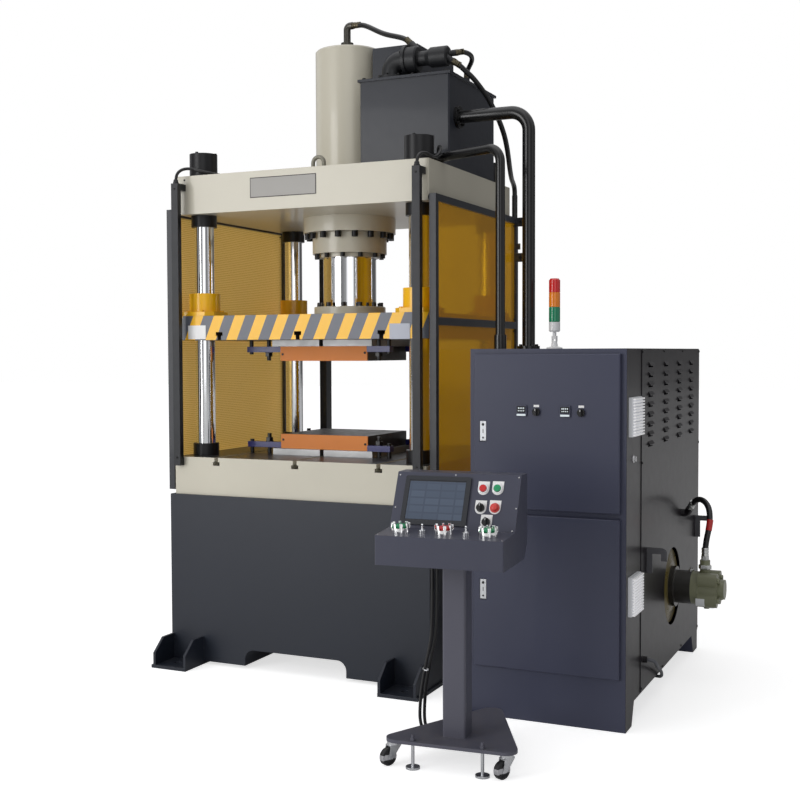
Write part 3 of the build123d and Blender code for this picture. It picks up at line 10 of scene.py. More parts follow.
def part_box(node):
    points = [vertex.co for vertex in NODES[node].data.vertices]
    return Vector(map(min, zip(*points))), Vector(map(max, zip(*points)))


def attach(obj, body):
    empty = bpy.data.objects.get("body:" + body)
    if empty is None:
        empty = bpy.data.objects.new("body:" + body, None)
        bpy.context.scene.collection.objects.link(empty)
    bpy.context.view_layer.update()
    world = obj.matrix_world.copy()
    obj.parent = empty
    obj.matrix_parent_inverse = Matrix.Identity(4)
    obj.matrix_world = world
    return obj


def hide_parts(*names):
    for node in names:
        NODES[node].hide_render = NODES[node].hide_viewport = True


bl_info = {
    "name": "Hydraulic Press Finishing",
    "version": (1, 0, 0),
    "blender": (4, 5, 0),
    "location": "View3D > Sidebar > Press",
    "description": "Paints, screws, hoses, plates and a studio for a four-column hydraulic press",
    "category": "Object",
}

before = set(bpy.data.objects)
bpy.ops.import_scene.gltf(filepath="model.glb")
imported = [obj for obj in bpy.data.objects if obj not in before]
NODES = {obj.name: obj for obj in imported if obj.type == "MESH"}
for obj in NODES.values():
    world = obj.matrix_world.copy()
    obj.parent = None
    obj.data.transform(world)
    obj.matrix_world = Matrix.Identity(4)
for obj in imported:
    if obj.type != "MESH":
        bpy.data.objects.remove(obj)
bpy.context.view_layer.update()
MM = 0.001

# Corners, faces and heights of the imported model, in millimetres
SLIDE_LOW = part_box("slide")[0] / MM
BEAM_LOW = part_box("crown_beam")[0] / MM
DOOR_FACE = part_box("upper_handle")[0].y / MM
CABINET_SIDE = 1554
PANEL_FACE = 1558.0
GUARD_FACE = 673
GUARD_THICK = 5
CURTAIN_FACE = -587
BOARD_FACE = -280
VENT_FACE = 1575
BEAM_TOP = 2272.0
BARREL_TOP = 2896.0
RAM_FLANGE_TOP = 1669.5
PUMP_NECK = 1646.0
COVER_TOP = 2702
LOWER_BAR = (994.5, 1022.5)
UPPER_BAR = (1450.5, 1478.5)
HOOK_BAND = (552, 668)
SLOT_HIGH = 37
WHEEL_RADIUS = 31.5
HUB_RADIUS = 9
STAND_METAL_TOP = 84
TOWER_GREEN, TOWER_AMBER, TOWER_RED = 1579, 1645, 1709
SWITCHGEAR_PALE, SWITCHGEAR_DARK = -475, -525
PANEL_ROWS, DESK_ROWS = (6, 204), (-30, 40)

# What every piece shares: how deep a screw head is sunk in millimetres, and the least turn of a sharp edge
HEAD_SUNK = 0.3
SHARP_ANGLE = math.radians(35)
COAT_ROUGHNESS = 0.06
DUST_COLOR = (150, 146, 138)


def surface(origin, across, outward):
    """A flat working face in millimetres: across is its x direction and outward its normal."""
    z = Vector(outward).normalized()
    x = Vector(across).normalized()
    y = z.cross(x)
    face = Matrix((x, y, z)).transposed().to_4x4()
    face.translation = Vector(origin)
    return face


def front(y):
    """A face towards the operator: x and height run along it."""
    return surface((0, y, 0), (1, 0, 0), (0, -1, 0))


def side(x, y=0, z=0):
    """A face to the right: depth and height run along it."""
    return surface((x, y, z), (0, 1, 0), (1, 0, 0))


def top(x, y, z):
    """A face that looks up."""
    return surface((x, y, z), (1, 0, 0), (0, 0, 1))


def facing(at, along):
    """A working face at a point, looking along a direction."""
    upright = Vector((0, 0, 1)) if abs(Vector(along).normalized().z) < 0.9 else Vector((1, 0, 0))
    return surface(at, upright.cross(Vector(along)), along)


FRONT = {
    "beam": front(BEAM_LOW.y),
    "slide": front(SLIDE_LOW.y),
    "door": front(DOOR_FACE),
    "curtain": front(CURTAIN_FACE),
    "board": front(BOARD_FACE),
}
SIDE = {
    "cabinet": side(CABINET_SIDE + 1),
    "panel": side(PANEL_FACE),
    "right_sheet": side(GUARD_FACE),
    "left_sheet": surface((-GUARD_FACE, 0, 0), (0, -1, 0), (-1, 0, 0)),
    "left_sheet_inside": side(GUARD_THICK - GUARD_FACE),
}
CONSOLE = Matrix.Translation((1086.3, -1318, 0)) @ Matrix.Rotation(math.radians(4.5), 4, "Z")
PANEL = CONSOLE @ surface((0, -68, 835), (1, 0, 0), (0, -187, 91))
DESK = CONSOLE @ surface((0, -150, 830.6), (1, 0, 0), (0, -8, 150))
BODY_FRAME = "frame"
BODY_SLIDE = "press_slide"


def linear(*display):
    """A colour from 0-255 display values, as the linear values that shaders take."""
    shares = [value / 255 for value in display]
    return tuple(c / 12.92 if c <= 10 / 255 else ((c + 0.055) / 1.055) ** 2.4 for c in shares)


def color_setting(name, description, *display):
    """A colour that a user may change, its default in 0-255 display values."""
    return bpy.props.FloatVectorProperty(
        name=name, description=description, subtype="COLOR", size=3, min=0, max=1, default=linear(*display))


def number_setting(name, description, default, least, most, subtype="NONE"):
    """A number that a user may change."""
    return bpy.props.FloatProperty(
        name=name, description=description, default=default, min=least, max=most, subtype=subtype)


class PressPaint(bpy.types.PropertyGroup):
    """Colours of the press."""

    cream: color_setting("Cream", "Paint of the beam, cylinder and table sides", 200, 195, 179)
    base: color_setting("Base", "Paint of the base weldment", 30, 35, 46)
    cabinet: color_setting("Cabinet", "Powder coat of the cabinet and its doors", 59, 62, 82)
    tank: color_setting("Tank", "Paint of the oil tank", 38, 41, 49)
    amber: color_setting("Amber", "Colour of the holes in the left guard sheets", 226, 176, 32)
    yellow: color_setting("Yellow", "Yellow of the slide and the guide bushings", 248, 188, 14)
    stripe: color_setting("Stripe", "Dark stripe of the slide's front", 92, 96, 106)


class PressSizes(bpy.types.PropertyGroup):
    """Sizes of the small pieces, in millimetres."""

    stripe_pitch: number_setting(
        "Stripe pitch", "Distance between two dark stripes along the slide, mm", 114.0, 40, 300)
    stripe_lean: number_setting(
        "Stripe lean", "Sideways run of a stripe for each unit of height", 0.43, -2, 2)
    screw_head: number_setting("Screw head", "Diameter of the small panel screws, mm", 9.0, 2, 20)
    bolt_head: number_setting("Bolt head", "Width of the hexagon bolts across corners, mm", 18.0, 6, 40)
    plate_wide: number_setting("Nameplate width", "Width of the bare plate on the beam, mm", 341.0, 50, 600)
    plate_high: number_setting("Nameplate height", "Height of the bare plate on the beam, mm", 91.0, 20, 160)


class PressStudio(bpy.types.PropertyGroup):
    """Light and camera of the studio."""

    key_power: number_setting(
        "Key light", "Power of the large light at the front left, W", 165.0, 0, 5000, "POWER")
    top_power: number_setting("Top light", "Power of the light above, W", 34.0, 0, 5000, "POWER")
    fill_power: number_setting(
        "Fill light", "Power of the weak light at the right, W", 5.0, 0, 5000, "POWER")
    ambient: number_setting("Ambient", "Brightness of the surroundings on matt surfaces", 0.5, 0, 3)
    lens: number_setting("Lens", "Focal length of the camera, mm", 53.53, 20, 200)


class Net:
    """A node tree with short ways to add and join nodes."""

    def __init__(self, tree):
        self.tree = tree

    def add(self, kind, inputs=None, **settings):
        """A new node with its settings, and its inputs set to values or linked to sockets."""
        node = self.tree.nodes.new(kind)
        for key, value in settings.items():
            setattr(node, key, value)
        for key, value in (inputs or {}).items():
            if isinstance(value, bpy.types.NodeSocket):
                self.link(value, node.inputs[key])
            else:
                node.inputs[key].default_value = value
        return node

    def link(self, source, target):
        self.tree.links.new(source, target)

    def placed(self, name, **inputs):
        """The outputs of one of the shared groups; an input's name has _ for a space."""
        named = {key.replace("_", " "): value for key, value in inputs.items()}
        return self.add("ShaderNodeGroup", named, node_tree=GROUPS[name]).outputs

    def math(self, operation, first, second=0.0, clamp=False):
        inputs = {0: first, 1: second}
        return self.add("ShaderNodeMath", inputs, operation=operation, use_clamp=clamp).outputs[0]

    def product(self, first, second):
        return self.math("MULTIPLY", first, second)

    def mix(self, factor, first, second):
        inputs = {0: factor, 6: first, 7: second}
        return self.add("ShaderNodeMix", inputs, data_type="RGBA").outputs[2]

    def between(self, value, low, high):
        """1 where a value lies between two limits, else 0."""
        return self.product(self.math("GREATER_THAN", value, low), self.math("LESS_THAN", value, high))

    def spread(self, value, low, high, to_low=0.0, to_high=1.0):
        inputs = {0: value, 1: low, 2: high, 3: to_low, 4: to_high}
        return self.add("ShaderNodeMapRange", inputs).outputs[0]

    def noise(self, vector, scale, detail=3.0):
        inputs = {"Vector": vector, "Scale": scale, "Detail": detail}
        return self.add("ShaderNodeTexNoise", inputs).outputs[0]

    def place(self):
        """Where a point lies on the object."""
        return self.add("ShaderNodeTexCoord").outputs["Object"]

    def normal(self):
        return self.add("ShaderNodeNewGeometry").outputs["Normal"]

    def split(self, vector):
        """The three parts of a vector."""
        return self.add("ShaderNodeSeparateXYZ", {0: vector}).outputs

    def vectors(self, operation, first, second):
        return self.add("ShaderNodeVectorMath", {0: first, 1: second}, operation=operation).outputs

    def less(self, first, second):
        """One vector taken from another."""
        return self.vectors("SUBTRACT", first, second)[0]

    def dot(self, first, second):
        return self.vectors("DOT_PRODUCT", first, second)["Value"]


def group(name, inputs, outputs, kind="Shader"):
    """A node group with its sockets; returns it with its net, input node's and output node's sockets."""
    tree = bpy.data.node_groups.new(name, kind + "NodeTree")
    for label, value, default in inputs:
        socket = tree.interface.new_socket(label, in_out="INPUT", socket_type="NodeSocket" + value)
        if default is not None:
            socket.default_value = default
    for label, value in outputs:
        tree.interface.new_socket(label, in_out="OUTPUT", socket_type="NodeSocket" + value)
    net = Net(tree)
    return tree, net, net.add("NodeGroupInput").outputs, net.add("NodeGroupOutput").inputs


def skin_group():
    """Paint or metal with cloudy tone, handling marks, dust on top faces and fine grain."""
    tree, net, given, made = group(
        "press_skin",
        [
            ("Color", "Color", (0.5, 0.5, 0.5, 1)),
            ("Dust", "Color", (0.4, 0.38, 0.34, 1)),
            ("Dust Amount", "Float", 0.2),
            ("Roughness", "Float", 0.4),
            ("Variation", "Float", 0.12),
            ("Grain Scale", "Float", 700.0),
        ],
        [("Color", "Color"), ("Roughness", "Float"), ("Height", "Float")],
    )
    place = net.place()
    cloud = net.noise(place, 3.1, 4.0)
    smudge = net.noise(place, 26.0, 6.0)
    tone = net.product(net.math("SUBTRACT", cloud, 0.5), given["Variation"])
    tone = net.math("ADD", 1.0, net.product(tone, 2.0))
    toned = net.add("ShaderNodeVectorMath", {0: given["Color"], "Scale": tone}, operation="SCALE").outputs[0]
    on_top = net.spread(net.split(net.normal())[2], 0.75, 0.98)
    dust = net.product(net.product(on_top, net.spread(smudge, 0.35, 0.7)), given["Dust Amount"])
    net.link(net.mix(dust, toned, given["Dust"]), made["Color"])
    marks = net.product(net.math("SUBTRACT", smudge, 0.5), given["Variation"])
    marks = net.math("ADD", net.product(dust, 0.4), marks)
    net.link(net.math("ADD", given["Roughness"], marks, clamp=True), made["Roughness"])
    net.link(net.noise(place, given["Grain Scale"], 2.0), made["Height"])
    return tree


def edge_group():
    """A softened normal along sharp edges, and a mask of those edges."""
    tree, net, given, made = group(
        "press_edges", [("Radius", "Float", 0.002)], [("Normal", "Vector"), ("Edge", "Float")])
    soft = net.add("ShaderNodeBevel", {"Radius": given["Radius"]}, samples=4).outputs[0]
    net.link(soft, made["Normal"])
    net.link(net.spread(net.dot(soft, net.normal()), 0.995, 0.86), made["Edge"])
    return tree


def turning_group():
    """Fine rings left by grinding or turning along Z: a tone and a height."""
    tree, net, given, made = group(
        "press_turning", [("Ring Scale", "Float", 900.0)], [("Tone", "Float"), ("Height", "Float")])
    line = net.add("ShaderNodeCombineXYZ", {2: net.split(net.place())[2]}).outputs[0]
    fine = net.noise(line, given["Ring Scale"], 2.0)
    broad = net.noise(line, 14.0, 3.0)
    net.link(net.math("ADD", net.product(fine, 0.5), net.product(broad, 0.5)), made["Tone"])
    net.link(fine, made["Height"])
    return tree


def dots_group():
    """A mask of small round holes in rows, across Y and Z."""
    tree, net, given, made = group(
        "press_dots", [("Pitch", "Float", 0.009), ("Hole", "Float", 0.0028)], [("Mask", "Float")])
    axes = net.split(net.place())
    high = net.math("DIVIDE", axes[2], given["Pitch"])
    odd = net.product(net.math("MODULO", net.math("FLOOR", high), 2.0), 0.5)
    wide = net.math("ADD", net.math("DIVIDE", axes[1], given["Pitch"]), odd)
    across = net.math("SUBTRACT", net.math("FRACT", wide), 0.5)
    up = net.math("SUBTRACT", net.math("FRACT", high), 0.5)
    squares = net.math("ADD", net.product(across, across), net.product(up, up))
    away = net.product(net.math("SQRT", squares), given["Pitch"])
    net.link(net.math("LESS_THAN", away, given["Hole"]), made["Mask"])
    return tree


GROUPS = {}
FINISHES = {}


class Look:
    """Colour, roughness and metal of one zone of a material."""

    def __init__(self, color, rough=0.4, metal=0.0):
        self.color = (*color[:3], 1.0)
        self.rough = rough
        self.metal = metal


def shade(red, green, blue, rough=0.4, metal=0.0):
    """A look from 0-255 display values."""
    return Look(linear(red, green, blue), rough, metal)


def finish(name, look, zones=(), **extra):
    """A node material: a base look, then (mask maker, look) zones over it, with skin and soft edges."""
    if name in FINISHES:
        return FINISHES[name]
    material = bpy.data.materials.new(name)
    material.use_nodes = True
    net = Net(material.node_tree)
    net.tree.nodes.clear()
    place = net.place()
    axes = net.split(place)
    color, rough, metal = look.color, look.rough, look.metal
    for mask_maker, zone in zones:
        mask = mask_maker(net, place, axes)
        color = net.mix(mask, color, zone.color)
        rough = net.spread(mask, 0.0, 1.0, rough, zone.rough)
        metal = net.spread(mask, 0.0, 1.0, metal, zone.metal)
    skin = net.placed(
        "skin", Color=color, Dust=(*linear(*DUST_COLOR), 1.0), Dust_Amount=extra.get("dust", 0.12),
        Roughness=rough, Variation=extra.get("variation", 0.1), Grain_Scale=extra.get("grain", 700.0))
    edges = net.placed("edges", Radius=extra.get("edge", 1.6) * MM)
    height, toned, roughness = skin["Height"], skin["Color"], skin["Roughness"]
    if extra.get("turned"):
        turning = net.placed("turning", Ring_Scale=extra["turned"])
        height = turning["Height"]
        roughness = net.product(roughness, net.spread(turning["Tone"], 0.3, 0.7, 0.6, 1.7))
    if extra.get("worn"):
        below, share = extra["worn"]
        chips = net.math("GREATER_THAN", net.noise(place, 60.0, 5.0), 0.56)
        chips = net.product(net.product(edges["Edge"], chips), share)
        toned = net.mix(chips, toned, (*below, 1.0))
    bump = net.add("ShaderNodeBump", {
        "Height": height,
        "Normal": edges["Normal"],
        "Strength": extra.get("bump", 0.08),
        "Distance": extra.get("depth", 0.3) * MM,
    })
    shader = net.add("ShaderNodeBsdfPrincipled", {
        "Base Color": toned,
        "Roughness": roughness,
        "Normal": bump.outputs[0],
        "Metallic": metal,
        "Coat Weight": extra.get("coat", 0.0),
        "Coat Roughness": COAT_ROUGHNESS,
        "Transmission Weight": extra.get("clear", 0.0),
        "IOR": extra.get("ior", 1.5),
        "Specular IOR Level": extra.get("specular", 0.4),
        "Emission Strength": extra.get("glow", 0.0),
    })
    if extra.get("glow"):
        net.link(toned, shader.inputs["Emission Color"])
    if extra.get("holes"):
        left = net.product(net.placed("dots")["Mask"], net.math("LESS_THAN", axes[0], 0.0))
        net.link(net.mix(left, toned, (*extra["holes"], 1.0)), shader.inputs["Base Color"])
    net.add("ShaderNodeOutputMaterial", {"Surface": shader.outputs[0]})
    FINISHES[name] = material
    return material


def above(axis, limit):
    """A mask maker: 1 where a coordinate in millimetres is over the limit."""
    return lambda net, place, axes: net.math("GREATER_THAN", axes[axis], limit * MM)


def under(axis, limit):
    """A mask maker: 1 where a coordinate in millimetres is under the limit."""
    return lambda net, place, axes: net.math("LESS_THAN", axes[axis], limit * MM)


def outside(axis, low, high):
    """A mask maker: 1 where a coordinate in millimetres isn't between two limits."""
    return lambda net, place, axes: net.math("SUBTRACT", 1.0, net.between(axes[axis], low * MM, high * MM))


def facing_up(net, place, axes):
    """1 on level top faces."""
    return net.math("GREATER_THAN", net.split(net.normal())[2], 0.9)


def hooks(net, place, axes):
    """1 on the two hose hooks of the side panel."""
    proud = net.math("GREATER_THAN", axes[0], (PANEL_FACE + 1) * MM)
    return net.product(proud, net.between(axes[2], HOOK_BAND[0] * MM, HOOK_BAND[1] * MM))


def slot_walls(net, place, axes):
    """1 inside the T-slots of the slide."""
    low = net.math("LESS_THAN", axes[2], (SLIDE_LOW.z + SLOT_HIGH) * MM)
    across = net.math("GREATER_THAN", net.math("ABSOLUTE", net.split(net.normal())[0]), 0.9)
    inner = net.math("LESS_THAN", net.math("ABSOLUTE", axes[0]), 0.6)
    return net.product(low, net.product(across, inner))


def hubs(net, place, axes):
    """1 near a caster wheel's hub, where the bare metal shows."""
    rise = net.math("SUBTRACT", axes[2], WHEEL_RADIUS * MM)
    return net.math("LESS_THAN", net.math("ABSOLUTE", rise), HUB_RADIUS * MM)


def over_face(face, least, low, high):
    """A mask maker: 1 where a point stands over least mm out of a face, between two rows of it."""
    origin, normal, up = face.translation * MM, face.col[2].to_3d(), face.col[1].to_3d()

    def mask(net, place, axes):
        away = net.less(place, origin)
        over = net.math("GREATER_THAN", net.dot(away, normal), least * MM)
        return net.product(over, net.between(net.dot(away, up), low * MM, high * MM))

    return mask


def stripes(pitch, lean):
    """A mask maker: leaning stripes on the slide's front face."""
    def mask(net, place, axes):
        run = net.math("SUBTRACT", axes[0], net.product(axes[2], lean))
        dark = net.math("GREATER_THAN", net.math("FRACT", net.math("DIVIDE", run, pitch * MM)), 0.5)
        return net.product(dark, net.math("LESS_THAN", axes[1], (SLIDE_LOW.y + 0.5) * MM))

    return mask


def built(name, build):
    """A mesh made by build(bmesh), with outward faces."""
    shape = bmesh.new()
    build(shape)
    bmesh.ops.remove_doubles(shape, verts=shape.verts, dist=1e-6)
    bmesh.ops.recalc_face_normals(shape, faces=shape.faces)
    mesh = bpy.data.meshes.new(name)
    shape.to_mesh(mesh)
    shape.free()
    return mesh


def piece(name, build, material, body=BODY_FRAME):
    """A piece made by build(bmesh), finished and riding on a body."""
    return settle(name, built(name, build), material, body)


def forms(make, rows):
    """A build of several slabs or lathes, one for each row of arguments."""
    def build(shape):
        for row in rows:
            make(shape, *row)

    return build


def settle(name, mesh, material, body):
    """Link a finished mesh at the origin, with its material, body and slot."""
    mesh.materials.clear()
    mesh.materials.append(material)
    mesh.polygons.foreach_set("use_smooth", [True] * len(mesh.polygons))
    mesh.set_sharp_from_angle(angle=SHARP_ANGLE)
    made = bpy.data.objects.new(name, mesh)
    bpy.context.scene.collection.objects.link(made)
    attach(made, body)
    return made


def rounded(x, y, wide, high, radius, steps=4):
    """Corner points of a rectangle with round corners, centred at x, y."""
    points = []
    for turn, (sx, sy) in enumerate(((1, 1), (-1, 1), (-1, -1), (1, -1))):
        for step in range(steps + 1):
            angle = math.radians(90 * turn + 90 * step / steps)
            corner = (x + sx * (wide / 2 - radius), y + sy * (high / 2 - radius))
            points.append((corner[0] + radius * math.cos(angle), corner[1] + radius * math.sin(angle)))
    return points


def shield(x, y, wide, high):
    """Outline of a label with a flat head and a round foot."""
    radius = wide / 2
    points = [(x + radius, y + high / 2), (x - radius, y + high / 2)]
    for step in range(13):
        angle = math.pi + math.pi * step / 12
        points.append((x + radius * math.cos(angle), y - high / 2 + radius + radius * math.sin(angle)))
    return points


def band(shape, lower, upper):
    """Faces between two closed loops of vertices; a loop of one vertex is a tip."""
    a, b = len(lower), len(upper)
    count = max(a, b)
    for i in range(count):
        j = (i + 1) % count
        corners = dict.fromkeys((lower[i % a], lower[j % a], upper[j % b], upper[i % b]))
        shape.faces.new(list(corners))


def slab(shape, face, outline, low, high, chamfer=0.4):
    """A thin plate on a face, from low to high, with a chamfer round its top."""
    centre = Vector((sum(p[0] for p in outline), sum(p[1] for p in outline))) / len(outline)
    rings = []
    for level, inset in ((low, 0.0), (high - chamfer, 0.0), (high, chamfer)):
        ring = []
        for point in outline:
            away = Vector(point) - centre
            place = centre + away * (1 - inset / max(away.length, inset * 2 + 0.001))
            ring.append(shape.verts.new(face @ Vector((place.x, place.y, level)) * MM))
        rings.append(ring)
    shape.faces.new(rings[0])
    shape.faces.new(rings[-1])
    for lower, upper in zip(rings, rings[1:]):
        band(shape, lower, upper)


def lathe(shape, face, profile, steps=24, x=0.0, y=0.0):
    """A turned form of (radius, height) points about a face's normal at x, y on it."""
    rings = []
    for radius, height in profile:
        turns = [2 * math.pi * (step + 0.5) / steps for step in range(steps if radius else 1)]
        spots = [(x + radius * math.cos(turn), y + radius * math.sin(turn), height) for turn in turns]
        rings.append([shape.verts.new(face @ Vector(spot) * MM) for spot in spots])
    for lower, upper in zip(rings, rings[1:]):
        band(shape, lower, upper)


def head_tree():
    """Geometry nodes: a screw or bolt head on each point, turned to the point's facing vector."""
    tree, net, given, made = group(
        "press_heads",
        [
            ("Geometry", "Geometry", None),
            ("Radius", "Float", 0.005),
            ("Height", "Float", 0.003),
            ("Socket Share", "Float", 0.5),
            ("Sides", "Int", 16),
            ("Material", "Material", None),
        ],
        [("Geometry", "Geometry")],
        "Geometry",
    )
    circle = {"Vertices": given["Sides"], "Radius": given["Radius"]}
    disc = net.add("GeometryNodeMeshCircle", circle, fill_type="NGON").outputs[0]
    floor = net.add("GeometryNodeFlipFaces", {"Mesh": disc}).outputs[0]
    body, lid = disc, None
    for rise, scale in ((0.75, 1.0), (0.25, 0.86), (0.0, None), (-0.55, 0.92)):
        lift = net.product(given["Height"], rise)
        inputs = {"Mesh": body, "Offset Scale": lift, "Individual": False}
        if lid is not None:
            inputs["Selection"] = lid
        raised = net.add("GeometryNodeExtrudeMesh", inputs, mode="FACES").outputs
        body, lid = raised["Mesh"], raised["Top"]
        share = given["Socket Share"] if scale is None else scale
        shrunk = {"Geometry": body, "Selection": lid, "Scale": share}
        body = net.add("GeometryNodeScaleElements", shrunk).outputs[0]
    joined = net.add("GeometryNodeJoinGeometry")
    net.link(body, joined.inputs[0])
    net.link(floor, joined.inputs[0])
    merged = {"Geometry": joined.outputs[0], "Distance": 0.00001}
    head = net.add("GeometryNodeMergeByDistance", merged).outputs[0]
    look = net.add("GeometryNodeInputNamedAttribute", {"Name": "facing"}, data_type="FLOAT_VECTOR")
    turn = net.add("FunctionNodeAlignRotationToVector", {"Vector": look.outputs[0]}, axis="Z").outputs[0]
    spread = {"Points": given["Geometry"], "Instance": head, "Rotation": turn}
    many = net.add("GeometryNodeInstanceOnPoints", spread).outputs[0]
    real = net.add("GeometryNodeRealizeInstances", {0: many}).outputs[0]
    painted = {"Geometry": real, "Material": given["Material"]}
    net.link(net.add("GeometryNodeSetMaterial", painted).outputs[0], made[0])
    items = tree.interface.items_tree
    return tree, {item.name: item.identifier for item in items if item.in_out == "INPUT"}


def heads(name, places, diameter, high, material, body=BODY_FRAME, sides=14, socket=0.5):
    """One piece of many screw heads: places are (face, [(x, y), ...]) pairs in millimetres."""
    spots, looks = [], []
    for face, points in places:
        for x, y in points:
            spots.append(face @ Vector((x, y, -HEAD_SUNK)) * MM)
            looks.extend(face.col[2].to_3d().normalized())
    cloud = bpy.data.meshes.new(name + "_points")
    cloud.from_pydata(spots, [], [])
    cloud.attributes.new("facing", "FLOAT_VECTOR", "POINT").data.foreach_set("vector", looks)
    carrier = bpy.data.objects.new(name + "_points", cloud)
    bpy.context.scene.collection.objects.link(carrier)
    tree, sockets = GROUPS["heads"]
    modifier = carrier.modifiers.new("heads", "NODES")
    modifier.node_group = tree
    modifier[sockets["Radius"]] = diameter / 2 * MM
    modifier[sockets["Height"]] = (high + HEAD_SUNK) * MM
    modifier[sockets["Socket Share"]] = socket
    modifier[sockets["Sides"]] = sides
    modifier[sockets["Material"]] = material
    graph = bpy.context.evaluated_depsgraph_get()
    mesh = bpy.data.meshes.new_from_object(carrier.evaluated_get(graph), depsgraph=graph)
    carrier.modifiers.remove(modifier)
    bpy.data.objects.remove(carrier)
    if len(mesh.polygons) < len(spots) * sides:
        raise RuntimeError(f"{name}: the heads were not made")
    for stray in list(mesh.attributes):
        if stray.name == "facing":
            mesh.attributes.remove(stray)
    return settle(name, mesh, material, body)


def ring_places(face, radius, count, start):
    """A (face, points) pair of places on a circle round a face's origin."""
    turns = [math.radians(start + 360 * i / count) for i in range(count)]
    return face, [(radius * math.cos(a), radius * math.sin(a)) for a in turns]


